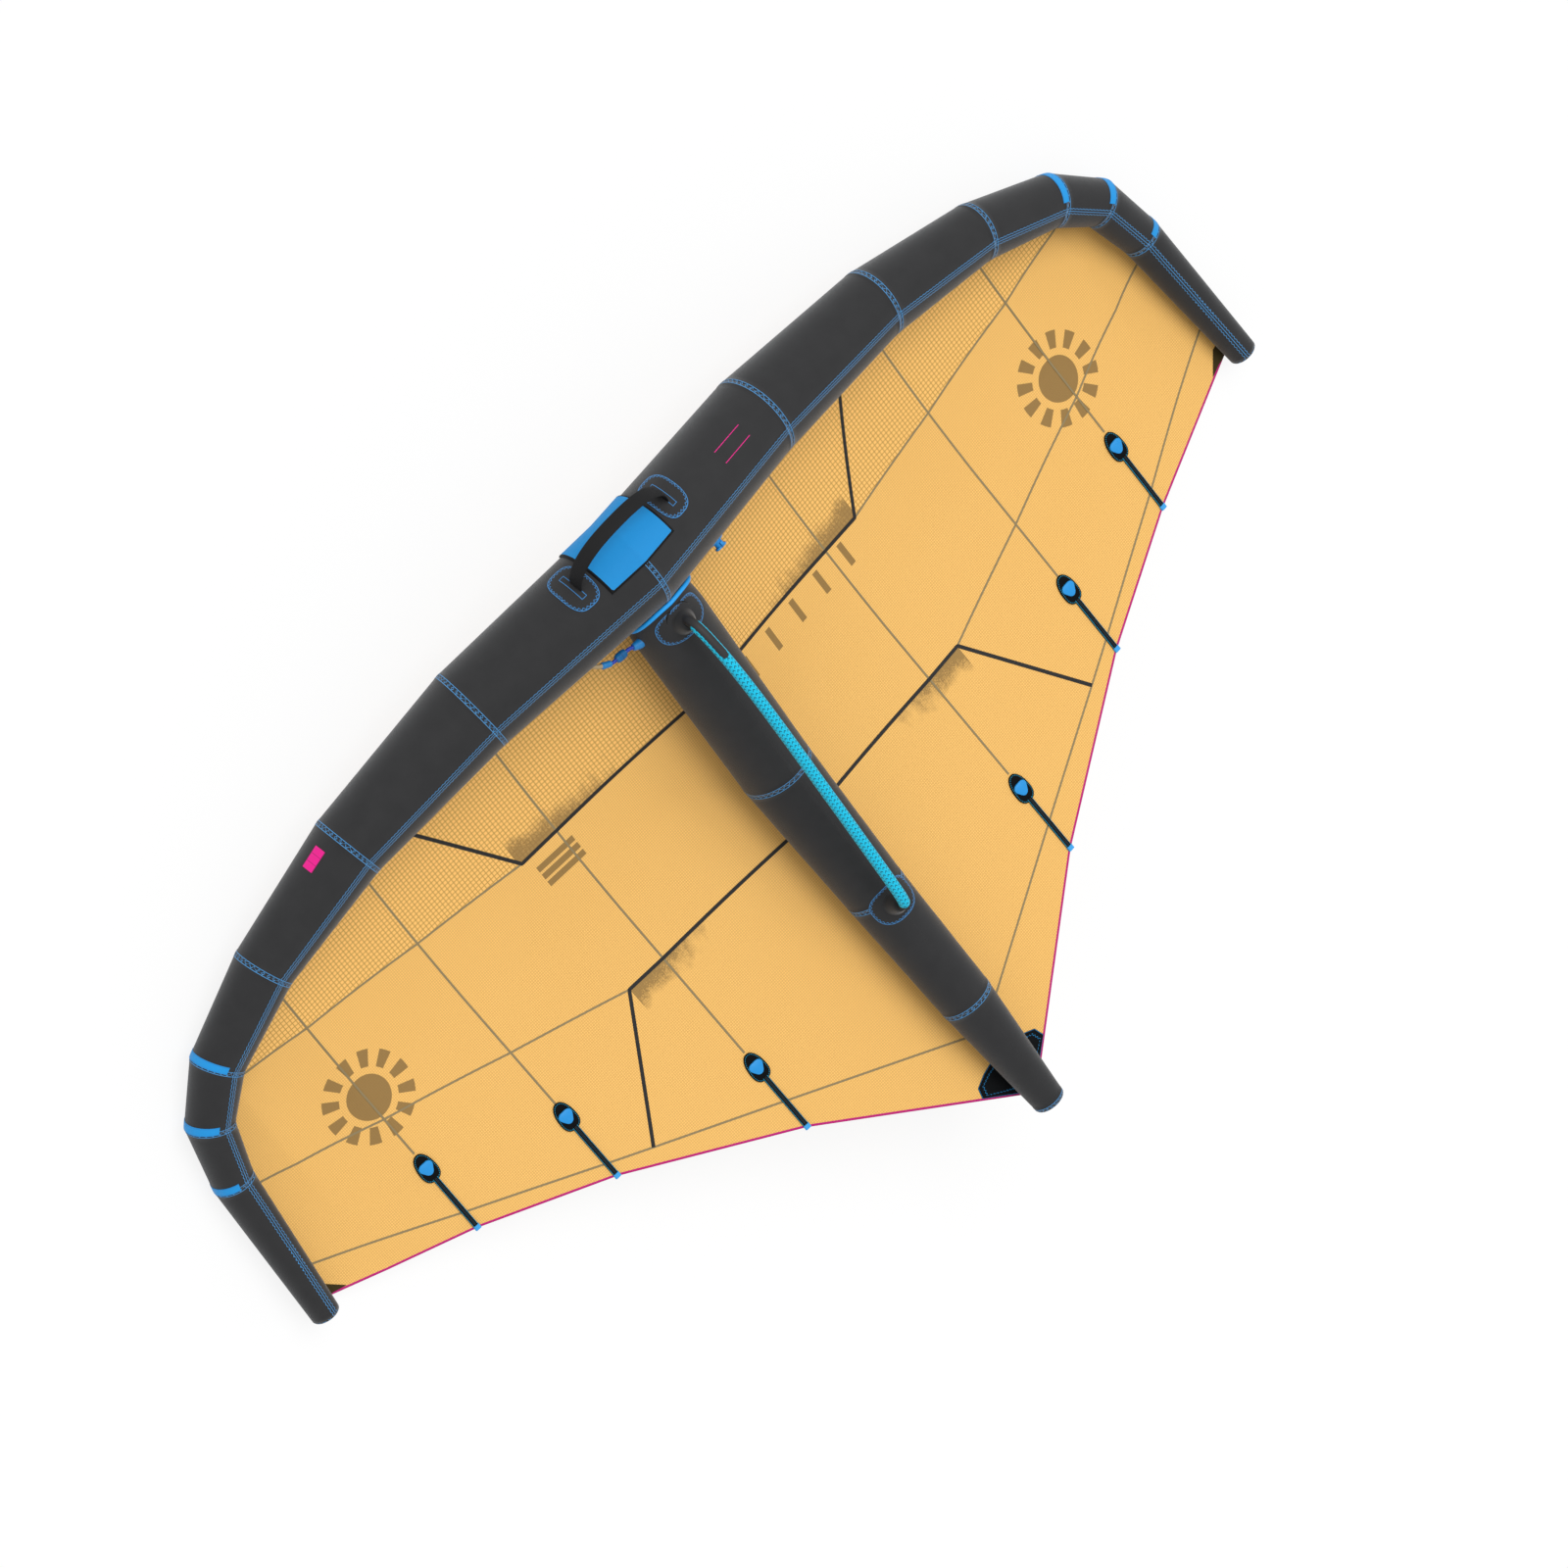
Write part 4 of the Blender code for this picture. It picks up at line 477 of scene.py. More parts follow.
def edge_distance(points):
    """Distance of points from the leading edge's casing near mid-span."""
    leg = EDGE.centres[1] * hand_of(points[..., 0]) - EDGE.centres[0]
    share = ((points - EDGE.centres[0]) * leg).sum(-1) / (leg * leg).sum(-1)
    middle = EDGE.centres[0] + share[..., None] * leg
    radius = EDGE.radii[0] * (1 - np.abs(share)) + EDGE.radii[1] * np.abs(share)
    return np.linalg.norm(points - middle, axis=-1) - radius


def crease_y(angle, off):
    """Rearward position at which a point beside the strut is as near to both tubes as off, by halving steps."""
    low = np.full(np.shape(angle), -NOSE_LENGTH)
    high = np.full(np.shape(angle), STRUT_RADIUS)
    for _ in range(40):
        middle = (low + high) / 2
        inside = edge_distance(STRUT.point(strut_place(middle), angle, off)) < off
        low = np.where(inside, middle, low)
        high = np.where(inside, high, middle)
    return high


for number, (first, last) in enumerate(((0, 2), (2, 3), (3, 4), (4, 5)), start=1):
    front = 0.0
    if number == 1:
        front = NOSE_LENGTH + crease_y(PANEL_TURNS - math.pi / 2, 0.0) - 0.004
    patch = casing_patch(STRUT, first, last, front, seam_angle=-math.pi / 2, hem_first=number > 1)
    wall(make_piece(f"strut_casing_{number}", [patch], SAILCLOTH, f"strut_panel_{number}"),
         CASING_WALL)
wall(make_piece("strut_round_end", [end_patch(STRUT, 5, STRUT_CAP_HEIGHT)], SAILCLOTH,
                "strut_end_cap"), CASING_WALL)


# ---------------------------------------------------------------------------------------------------------
# Piping: a blue cord in a folded strip of blue tape, sewn into the crease between the strut and the leading
# edge. A dark line shows where the fold of the tape meets the cord.

PIPING_RADIUS = 0.0056
# Piping tape: a lighter blue than the stripes, with a soft shine on its round back and a dark fold beside it.
PIPING, shader = new_finish("blue_tape_piping", "#229FEE", 0.45, Specular_IOR_Level=0.3)
around, _ = woven(PIPING, shader, "piping", BAND_WEAVE)
tint(PIPING, shader, node(PIPING, "COMPARE", around, 0.0240, 0.0050), "#1B84D0")
tint(PIPING, shader, node(PIPING, "COMPARE", around, 0.0300, 0.0013), "#0E3A62")


def with_ends(grid, first, last):
    """The grid between two more rows, each a single point as often as the grid has columns: its closed ends."""
    ends = [np.repeat(np.asarray(point)[None, None], grid.shape[1], axis=1) for point in (first, last)]
    return np.concatenate([ends[0], grid, ends[1]])


def closed_rod(path, radii, sides, hint, name, flat=(1.0, 1.0)):
    """Profile carried along a path: a circle, or an oval with the two flat shares, square to the path.

    Rows go along the path and columns round it; the first and last rows close on the path's ends. The UV map
    holds the way round and the way along, in metres.
    """
    path = np.asarray(path, dtype=float)
    along = unit(np.gradient(path, axis=0))
    first = unit(hint - along * (along @ np.asarray(hint))[:, None])
    second = np.cross(along, first)
    angle = np.linspace(0.0, 2 * math.pi, sides + 1)
    radii = np.broadcast_to(radii, len(path))[:, None, None]
    ring = (flat[0] * np.cos(angle)[None, :, None] * first[:, None, :]
            + flat[1] * np.sin(angle)[None, :, None] * second[:, None, :])
    points = path[:, None, :] + radii * ring
    points = with_ends(points, path[0], path[-1])
    way = way_along(path)
    way = np.concatenate([[0.0], way, [way[-1]]])[:, None]
    mean = float(np.mean(radii))
    return points, {name: pair(angle[None, :] * mean, way)}, None


swing = np.radians(np.linspace(-20.0, 200.0, 120))
off = PIPING_RADIUS + 0.0006
piping_path = STRUT.point(strut_place(crease_y(swing, off)), swing, off)
make_piece("crease_piping", [closed_rod(piping_path, PIPING_RADIUS, 20, (0.0, 0.0, 1.0), "piping")], PIPING,
           "strut_root_piping")


# ---------------------------------------------------------------------------------------------------------
# Canopy: thin ripstop sailcloth stretched between the tubes, sewn from panels. The front panels are of a
# heavier cloth with a wider grid of thick threads. It hangs a little below the straight line, like a sail.

TAIL_CENTRE, TAIL_RISE, TAIL_DROP = 1.677, 0.912, 0.2487
TAIL_SPANS = np.array((0.0, 0.2898, 0.5476, 0.7496, 0.8862))
TAIL_RISES = np.array((0.0, 0.3864, 0.6651, 0.8320, 0.9159))
TAIL_DROPS = np.array((0.0, 0.3651, 0.6269, 0.8359, 1.0))
CAMBERS = 0.060 * np.array((1.55, 1.0, 0.76, 0.40, 0.17, 0.0))
BILLOW = 0.006
ATTACH = np.radians(np.array((-4.0, -10.0, -8.0, -5.0, 0.0, 6.0, 10.0, 14.0)) - 90.0)
TIP_COLUMN = 5
STRUT_SEAM_ROOM = 0.0026
MEET = 0.113                 # share of the centre chord at which the canopy reaches the strut's underside
CANOPY_THICKNESS = 0.0010
# Each run of the canopy: its first and last ring number, and the width and length of the cloth it is cut from
CANOPY_RUNS = (("inner", 0, 2, 0.96, 1.88), ("outer", 2, 5, 1.02, 1.27))


def attach_point(place):
    """Where the canopy leaves the leading edge, at a fractional ring number."""
    return EDGE.point(place, np.interp(place, np.arange(8), ATTACH), 0.0008)


def strut_underside(y):
    """Height of the strut's lowest line at a rearward position."""
    return STRUT.point(strut_place(y), -math.pi / 2)[..., 2]


def camber_shape(share):
    """Depth of the aerofoil: share times (1 - share) to the power 1.5, and straight behind half chord."""
    def curve(value):
        return value * (1 - value) ** 1.5
    share = np.clip(share, 0.0, 1.0)
    return np.where(share <= 0.5, curve(share), curve(0.5) * (1 - share) * 2) / curve(0.4)


def column_points(column, share):
    """Points on the chord line of one ring seam: a straight line with the camber hung below it.

    The centre line follows the strut's underside, and the outer one the leading edge itself.
    """
    share = np.asarray(share, dtype=float)
    if column == TIP_COLUMN:
        on_front = TIP_COLUMN + share / 0.3
        on_side = TIP_COLUMN + 1 + (share - 0.3) / 0.7 * 0.96
        return attach_point(np.where(share <= 0.3, on_front, on_side))
    front = attach_point(float(column))
    centre = strut_underside(TAIL_CENTRE) - STRUT_SEAM_ROOM
    tail = np.array((HALF_SPAN * TAIL_SPANS[column], TAIL_CENTRE - TAIL_RISE * TAIL_RISES[column],
                     centre - TAIL_DROP * TAIL_DROPS[column]))
    points = front * (1 - share[..., None]) + tail * share[..., None]
    if column == 0:
        meet_y = front[1] * (1 - MEET) + tail[1] * MEET
        floor = strut_underside(np.maximum(points[..., 1], meet_y)) - STRUT_SEAM_ROOM
        rest = np.clip(share / MEET, 0.0, 1.0)
        points[..., 2] = front[2] * (1 - rest) + floor * rest
    else:
        points[..., 2] -= CAMBERS[column] * camber_shape(share)
    return points


def canopy_point(place, share):
    """Canopy point at a fractional ring number and a share of the chord, bellied out between two chord lines."""
    place, share = np.broadcast_arrays(np.asarray(place, dtype=float), np.asarray(share, dtype=float))
    low = np.clip(place.astype(int), 0, TIP_COLUMN - 1)
    rest = (place - low)[..., None]
    columns = np.stack([column_points(column, share) for column in range(TIP_COLUMN + 1)])
    here = np.take_along_axis(columns, low[None, ..., None], axis=0)[0]
    following = np.take_along_axis(columns, low[None, ..., None] + 1, axis=0)[0]
    points = here * (1 - rest) + following * rest
    points[..., 2] -= BILLOW * np.sin(math.pi * rest[..., 0]) * camber_shape(share)
    return np.where((share <= 0)[..., None], attach_point(place), points)


def canopy_at(x, y):
    """Canopy point and upward normal at a span and rearward position on the left half, by Newton steps."""
    place = np.interp(x, EDGE.centres[:6, 0], np.arange(6.0))
    share = np.full(np.shape(x), 0.5)
    small = 1e-4
    for _ in range(12):
        here = canopy_point(place, share)
        by_place = (canopy_point(place + small, share) - here) / small
        by_share = (canopy_point(place, share + small) - here) / small
        miss_x, miss_y = x - here[..., 0], y - here[..., 1]
        area = by_place[..., 0] * by_share[..., 1] - by_share[..., 0] * by_place[..., 1]
        place = np.clip(place + (miss_x * by_share[..., 1] - miss_y * by_share[..., 0]) / area, 0.0, 4.999)
        share = np.clip(share + (miss_y * by_place[..., 0] - miss_x * by_place[..., 1]) / area, 0.001, 0.999)
    normal = unit(np.cross(by_place, by_share))
    return canopy_point(place, share), normal * np.where(normal[..., 2:] < 0, -1.0, 1.0)


# Corners of the printed and sewn lines on the left half, in the wing's own frame
FRONT_CORNER = (0.593, 0.306)
REAR_CORNER = (0.591, 0.741)
OUTER_END = (0.796, 1.082)
FRONT_LINE = ((0.0, 0.291), FRONT_CORNER, (0.813, -0.058))
REAR_LINE = ((0.0, 0.746), REAR_CORNER, OUTER_END)
TIP_SEAM_1 = (FRONT_CORNER, (1.505, 0.183))
TIP_SEAM_2 = (REAR_CORNER, (1.618, 0.421))
TIP_SEAM_3 = (OUTER_END, (1.640, 0.668))
STRUT_SEAM = ((0.0, 1.466), OUTER_END)

# Ripstop: thin polyester with a grid of thicker threads woven in, 5.35 by 5.9 mm, and 10.7 mm square in the
# front panels. The 0.7 mm grid threads are drawn up to 2.2 mm wide, so that they show from some metres away.
FADE_SIZE = 0.42             # size of the faint patches in which the dye varies
RIPSTOP, shader = new_finish("amber_ripstop_sailcloth", "#F4C06C", 0.55, Specular_IOR_Level=0.3)
span_way, chord_way = uv(RIPSTOP, "cloth")
in_front, behind = uv(RIPSTOP, "zone")
heavy = node(RIPSTOP, "GREATER_THAN", in_front, 0.0)
thread = node(RIPSTOP, "Mix", {0: heavy, 2: 0.00075, 3: 0.00110})
grid = None
for way, fine in ((span_way, 0.00535), (chord_way, 0.00590)):
    pitch = node(RIPSTOP, "Mix", {0: heavy, 2: fine / 2, 3: 0.01070 / 2})
    line = node(RIPSTOP, "LESS_THAN", node(RIPSTOP, "PINGPONG", way, pitch), thread)
    grid = line if grid is None else node(RIPSTOP, "MAXIMUM", grid, line)
own_place = node(RIPSTOP, "TexCoord").node.outputs["Object"]
soft = node(RIPSTOP, "TexNoise", {"Vector": own_place, "Scale": 1 / FADE_SIZE, "Detail": 4.0})
tint(RIPSTOP, shader, node(RIPSTOP, "MULTIPLY_ADD", soft, 0.4, -0.1), "#EDB661")
strength = node(RIPSTOP, "Mix", {0: heavy, 2: 0.34, 3: 0.66})
tint(RIPSTOP, shader, node(RIPSTOP, "MULTIPLY", grid, strength), "#9A6C28")
emboss(RIPSTOP, shader, grid, 0.0002)

DOT, CLUMP = 0.0030, (0.027, 0.055)          # size of a printed dot, and of the clumps in which it fades out
SHADES = ((in_front, 0.20, 0.60, 0.085), (behind, 0.30, 0.59, 0.078))    # from, start, end and reach of each
DISC_PLACE, DISC_RADIUS, RAY_MIDDLE, RAY_HALF, RAYS = (1.235, 0.470), 0.058, 0.098, 0.022, 12
BARS_PLACE, BARS_HALF, BAR_PITCH, BAR_HALF_WIDTH = (0.325, 0.352), (0.205, 0.034), 0.095, 0.0085
OBLONG_PLACE, OBLONG_HALF, STRIPE_PITCH, STRIPE_GAP = (0.515, 0.372), (0.058, 0.032), 0.0240, 0.0035
# Prints in brown ink: a shade of small dots that fades out beside the two black bands, a plain disc in a ring
# of short rays near each tip, a row of five short bars on the right half and a striped oblong on the left.
shade = None
for distance, low, high, reach in SHADES:
    fade = node(RIPSTOP, "MULTIPLY_ADD", distance, -1 / reach, 1.0)
    fade = node(RIPSTOP, "MULTIPLY", fade, node(RIPSTOP, "GREATER_THAN", distance, 0.0))
    sideways = node(RIPSTOP, "MULTIPLY", node(RIPSTOP, "SUBTRACT", span_way, low), 1 / (high - low))
    inside = node(RIPSTOP, "MULTIPLY", sideways, node(RIPSTOP, "LESS_THAN", span_way, high))
    fade = node(RIPSTOP, "MULTIPLY", node(RIPSTOP, "MAXIMUM", fade, 0.0), node(RIPSTOP, "MAXIMUM", inside, 0.0))
    shade = fade if shade is None else node(RIPSTOP, "MAXIMUM", shade, fade)
dot = node(RIPSTOP, "CombineXYZ", node(RIPSTOP, "SNAP", span_way, DOT), node(RIPSTOP, "SNAP", chord_way, DOT))
dot = node(RIPSTOP, "TexWhiteNoise", {"Vector": dot})
clumps = node(RIPSTOP, "CombineXYZ", node(RIPSTOP, "DIVIDE", span_way, CLUMP[0]),
              node(RIPSTOP, "DIVIDE", chord_way, CLUMP[1]))
ragged = node(RIPSTOP, "TexNoise", {"Vector": clumps, "Scale": 1.0, "Detail": 3.0})
ink = node(RIPSTOP, "MULTIPLY_ADD", ragged, -1.7, node(RIPSTOP, "MULTIPLY_ADD", shade, 2.7, 0.50))
ink = node(RIPSTOP, "MULTIPLY", ink, node(RIPSTOP, "MULTIPLY_ADD", dot, 0.70, 0.50))
ink = node(RIPSTOP, "MULTIPLY", node(RIPSTOP, "MINIMUM", node(RIPSTOP, "MAXIMUM", ink, 0.0), 0.92),
           node(RIPSTOP, "GREATER_THAN", shade, 0.0))
sun_a = node(RIPSTOP, "SUBTRACT", span_way, DISC_PLACE[0])
sun_b = node(RIPSTOP, "SUBTRACT", chord_way, DISC_PLACE[1])
far = node(RIPSTOP, "SQRT", node(RIPSTOP, "MULTIPLY_ADD", sun_a, sun_a, node(RIPSTOP, "MULTIPLY", sun_b, sun_b)))
ray = node(RIPSTOP, "PINGPONG", node(RIPSTOP, "ARCTAN2", sun_b, sun_a), math.pi / RAYS)
ray = node(RIPSTOP, "LESS_THAN", ray, math.pi / RAYS / 2)
ray = node(RIPSTOP, "MULTIPLY", node(RIPSTOP, "COMPARE", far, RAY_MIDDLE, RAY_HALF), ray)
ink = node(RIPSTOP, "MAXIMUM", ink, ray)
ink = node(RIPSTOP, "MAXIMUM", ink, node(RIPSTOP, "LESS_THAN", far, DISC_RADIUS))
half_x = node(RIPSTOP, "SeparateXYZ", own_place)
on_left = node(RIPSTOP, "GREATER_THAN", half_x, 0.0)
bars = node(RIPSTOP, "PINGPONG", node(RIPSTOP, "SUBTRACT", span_way, 0.0425), BAR_PITCH / 2)
bars = node(RIPSTOP, "LESS_THAN", bars, BAR_HALF_WIDTH)
bars = node(RIPSTOP, "MULTIPLY", bars, node(RIPSTOP, "SUBTRACT", 1.0, on_left))
stripes = node(RIPSTOP, "GREATER_THAN", node(RIPSTOP, "PINGPONG", chord_way, STRIPE_PITCH / 2), STRIPE_GAP)
stripes = node(RIPSTOP, "MULTIPLY", stripes, on_left)
for print_mask, centre, half in ((bars, BARS_PLACE, BARS_HALF), (stripes, OBLONG_PLACE, OBLONG_HALF)):
    for way, middle, reach in zip((span_way, chord_way), centre, half):
        within = node(RIPSTOP, "COMPARE", way, middle, reach)
        print_mask = node(RIPSTOP, "MULTIPLY", print_mask, within)
    ink = node(RIPSTOP, "MAXIMUM", ink, print_mask)
tint(RIPSTOP, shader, node(RIPSTOP, "MULTIPLY", ink, 0.92), "#8A6C3C")


def canopy_patch(first, last, columns):
    """Part of the canopy between two ring numbers, rows along the span and columns along the chord."""
    hem = 0.004
    place = np.concatenate([[first], np.linspace(first + hem, last - hem, columns), [last]])[:, None]
    share = np.concatenate([np.linspace(0.0, 0.12, 10), np.linspace(0.14, 0.998, 60), [1.0]])[None, :]
    points = canopy_point(place, share)
    if first == 0:
        points[0, :, 0] = 0.0
    line_y = np.interp(points[..., 0], (0.0, FRONT_CORNER[0], TIP_SEAM_1[1][0]),
                       (FRONT_LINE[0][1], FRONT_CORNER[1], TIP_SEAM_1[1][1]))
    rear_y = np.interp(points[..., 0], (0.0, REAR_CORNER[0], OUTER_END[0]),
                       (REAR_LINE[0][1], REAR_CORNER[1], OUTER_END[1]))
    maps = {"cloth": pair(points[..., 0], points[..., 1]),
            "zone": pair(line_y - points[..., 1], points[..., 1] - rear_y)}
    return points, maps, np.array((0.0, 0.5, -8.0))


for run, first, last, width, length in CANOPY_RUNS:
    patch = canopy_patch(first, last, 48)
    for side, made in both_sides(patch):
        cloth = make_piece(f"canopy_cloth_{side}_{run}", [made], RIPSTOP, f"canopy_{side}_{run}")
        wall(cloth, 0.0006)


# ---------------------------------------------------------------------------------------------------------
# Canopy seams: grey-brown tape over the lapped panels and, along the two printed lines, wider black bands of
# a stiffer cloth. Both lie on both faces of the canopy and are sewn through it.

SEAM_WIDTH, BAND_WIDTH = 0.0056, 0.0098
SEAM_STOP = 0.24             # where a chord seam ends in front of the trailing edge, by the batten pocket
# Seam tape: matt polyester with a line of thread near each edge, which reads as a sewn seam from nearby.
SEAM_TAPE, shader = new_finish("grey_brown_seam_tape", "#8D7B55", 0.6)
across, _ = woven(SEAM_TAPE, shader, "tape", TAPE_WEAVE)
edge_stitch = node(SEAM_TAPE, "COMPARE", node(SEAM_TAPE, "ABSOLUTE", across), 0.0017, 0.0004)
tint(SEAM_TAPE, shader, edge_stitch, "#86744E")
# Black band: matt black with two grey threads, the darkest cloth on the canopy.
BLACK_BAND, shader = new_finish("black_reinforcing_band", "#070708", 0.6)
across, _ = woven(BLACK_BAND, shader, "tape", TAPE_WEAVE)
edge_stitch = node(BLACK_BAND, "COMPARE", node(BLACK_BAND, "ABSOLUTE", across), 0.0024, 0.0003)
tint(BLACK_BAND, shader, edge_stitch, "#1B1C1E")


def canopy_ribbon(corners, width, above):
    """Flat closed band round both faces of the canopy, along straight lines between corners in plan."""
    corners = np.array(corners)
    marks = way_along(corners)
    way = np.unique(np.concatenate([np.arange(0.0, marks[-1], 0.012), marks]))
    x, y = np.interp(way, marks, corners[:, 0]), np.interp(way, marks, corners[:, 1])
    points, normal = canopy_at(x, y)
    side = unit(np.cross(normal, np.gradient(points, axis=0)))
    half = width / 2
    across = np.array((0.0, -half * 0.9, -half, -half, -half * 0.9, 0.0, half * 0.9, half, half, half * 0.9, 0.0))
    under = -CANOPY_THICKNESS - above
    up = np.array((above, above, above * 0.3, under + above * 0.7, under, under, under, under + above * 0.7,
                   above * 0.3, above, above))
    grid = points[:, None] + side[:, None] * across[None, :, None] + normal[:, None] * up[None, :, None]
    grid = with_ends(grid, points[0], points[-1])
    way = np.concatenate([way[:1], way, way[-1:]])[:, None]
    return grid, {"tape": pair(across[None, :], way)}, None


def chord_corners(column, stop):
    """Plan positions of a seam along one ring's chord line, from the leading edge to a distance from the tail."""
    share = np.linspace(0.02, 1.0, 30)
    line = column_points(column, share)
    return [tuple(point) for point in line[line[:, 1] < line[-1, 1] - stop, :2]]


seams = {f"chord_{column}": chord_corners(column, SEAM_STOP) for column in (1, 2, 3)}
seams |= {"tip_1": TIP_SEAM_1, "tip_2": TIP_SEAM_2, "tip_3": TIP_SEAM_3, "strut": STRUT_SEAM}
for name, corners in seams.items():
    patch = canopy_ribbon(corners, SEAM_WIDTH, 0.0005)
    for side, made in both_sides(patch):
        make_piece(f"canopy_seam_{name}_{side}", [made], SEAM_TAPE)
for name, corners in (("front", FRONT_LINE), ("rear", REAR_LINE)):
    patch = canopy_ribbon(corners, BAND_WIDTH, 0.0008)
    for side, made in both_sides(patch):
        make_piece(f"canopy_band_{name}_{side}", [made], BLACK_BAND)


# ---------------------------------------------------------------------------------------------------------
# Trailing edge tape: magenta sailcloth tape folded over the rear edge of the canopy and sewn down.
# It keeps the edge from fraying and fluttering.

TAPE_WIDTH, HEM_WEAVE = 0.0066, 0.0018
# Trailing edge tape: deep magenta with darker stitches every 4 mm, which reads as a folded and sewn hem.
TAIL_TAPE, shader = new_finish("magenta_folded_tape", "#C4137A", 0.55, Specular_IOR_Level=0.25)
_, along = woven(TAIL_TAPE, shader, "piping", HEM_WEAVE)
stitches = node(TAIL_TAPE, "COMPARE", node(TAIL_TAPE, "PINGPONG", along, 0.002), 0.0005, 0.0005)
tint(TAIL_TAPE, shader, stitches, "#A80E68")
place = np.linspace(0.0, TIP_COLUMN - 0.02, 200)
edge = canopy_point(place, 1.0)
edge[0, 0] = 0.0004
inward = unit(canopy_point(place, 0.98) - edge)
tape_path = edge + inward * (TAPE_WIDTH / 2 - 0.0004) - np.array((0.0, 0.0, CANOPY_THICKNESS / 2))
for side, path in (("left", tape_path), ("right", mirrored(tape_path))):
    tape = closed_rod(path, TAPE_WIDTH / 2, 16, (0.0, 0.0, 1.0), "piping", flat=(0.36, 1.0))
    make_piece(f"trailing_tape_{side}", [tape], TAIL_TAPE, f"tail_tape_{side}")


# ---------------------------------------------------------------------------------------------------------
# Batten pockets: black cloth sleeves on the canopy with a teardrop reinforcement in front and a blue tab of
# webbing at the trailing edge. Teal thread runs along their edges.

BATTEN_LENGTHS = (0.210, 0.209, 0.211)
HEAD_LENGTH, HEAD_WIDTH, POCKET_WIDTH = 0.085, 0.058, 0.015
POCKET_HEIGHT = 0.0042
TAB_START, TAB_STOP, TAB_WIDTH, TAB_HEIGHT = -0.0030, 0.0095, 0.0172, 0.0058
ROD_START, ROD_WIDTH = 0.026, 0.0105
CAP_RADIUS = 0.0185
SEAT = 0.0012                # height over the chord line at which things lie on the cloth
HEAD_TOP = SEAT + 0.0026
SLEEVE_MARK = 1.0            # added to the way from the edge in a sleeve's UV map, to give it threads of its own
# Pocket cloth: almost black and matt, with teal threads along its edges and two grey lines on the sleeve, painted
# highlights along its two creases.
POCKET_CLOTH, shader = new_finish("black_pocket_cloth", "#0A0C0E", 0.7, Specular_IOR_Level=0.08)
along, from_edge = woven(POCKET_CLOTH, shader, "sewing", BAND_WEAVE)
dashes = node(POCKET_CLOTH, "FRACT", node(POCKET_CLOTH, "DIVIDE", along, 0.006))
dashes = node(POCKET_CLOTH, "GREATER_THAN", dashes, 0.35)
thread_line = node(POCKET_CLOTH, "MULTIPLY", node(POCKET_CLOTH, "COMPARE", from_edge, 0.0038, 0.0007), dashes)
on_sleeve = node(POCKET_CLOTH, "SUBTRACT", from_edge, SLEEVE_MARK)
thread_line = node(POCKET_CLOTH, "MAXIMUM", thread_line, node(POCKET_CLOTH, "COMPARE", on_sleeve, 0.0012, 0.0006))
tint(POCKET_CLOTH, shader, thread_line, "#2F93B4")
# Painted highlights: two grey lines along the sleeve's creases.
tint(POCKET_CLOTH, shader, node(POCKET_CLOTH, "COMPARE", on_sleeve, 0.0060, 0.0004), "#3A444A")
emboss(POCKET_CLOTH, shader, thread_line, 0.0004)
# Tab webbing: a light blue with a coarse weave, a bright end to each dark pocket.
TAB_WEBBING, shader = new_finish("blue_tab_webbing", "#3DA2E6", 0.6, Specular_IOR_Level=0.3)
woven(TAB_WEBBING, shader, "sewing", BAND_WEAVE, 0.0002)
BATTEN_GRAIN = 0.0003
# Batten nylon: a blue with a grain of 0.3 mm and a soft shine, so that the end caps read as moulded plastic.
BATTEN_BLUE, shader = new_finish("blue_moulded_nylon", "#1C92DC", 0.42, Specular_IOR_Level=0.4)
own_place = node(BATTEN_BLUE, "TexCoord").node.outputs["Object"]
grain = node(BATTEN_BLUE, "TexNoise", {"Vector": own_place, "Scale": 1 / BATTEN_GRAIN, "Detail": 3.0})
tint(BATTEN_BLUE, shader, node(BATTEN_BLUE, "MULTIPLY", grain, 0.5), "#1781C4")
emboss(BATTEN_BLUE, shader, grain, 0.0001)


def batten_axes(column):
    """Origin on the trailing edge, and the directions across the batten, forward along it and off the canopy."""
    tail = column_points(column, 1.0)
    forward = unit(column_points(column, 0.6245) - tail)
    span = column_points(column + 1, 1.0) - column_points(column - 1, 1.0)
    across = unit(span - forward * float(span @ forward))
    off = unit(np.cross(across, forward))
    return (tail, -across, forward, -off) if off[2] < 0 else (tail, across, forward, off)


def set_out(axes, a, b, up):
    """Points at local positions a across, b forward and up off the canopy."""
    origin, across, forward, off = axes
    a, b, up = np.broadcast_arrays(a, b, up)
    return origin + a[..., None] * across + b[..., None] * forward + up[..., None] * off


def domed_patch(axes, outline, centre, low, high, crown):
    """Closed low pad over a flat outline round a centre: rows from the pole out to the rim and under again.

    The rise over the rim is crown times (1 - t squared), t being the share of the way out.
    """
    outline = np.vstack([outline, outline[:1]])
    reach = outline - centre
    t = np.concatenate([np.linspace(0.0, 0.97, 10), [1.0, 1.0, 0.0]])[:, None]
    rise = np.concatenate([np.full(10, high), [high - (high - low) * 0.25, low, low]])[:, None]
    rise = rise + np.concatenate([crown * (1 - np.linspace(0.0, 0.97, 10) ** 2), [0.0, 0.0, 0.0]])[:, None]
    a = centre[0] + t * reach[None, :, 0]
    b = centre[1] + t * reach[None, :, 1]
    way = way_along(outline)[None, :]
    size = np.linalg.norm(reach, axis=1)[None, :]
    from_rim = (1 - t) * size
    points = set_out(axes, a, b, rise)
    middle = set_out(axes, centre[0], centre[1], (low + high) / 2)
    return points, {"sewing": pair(way, from_rim)}, middle


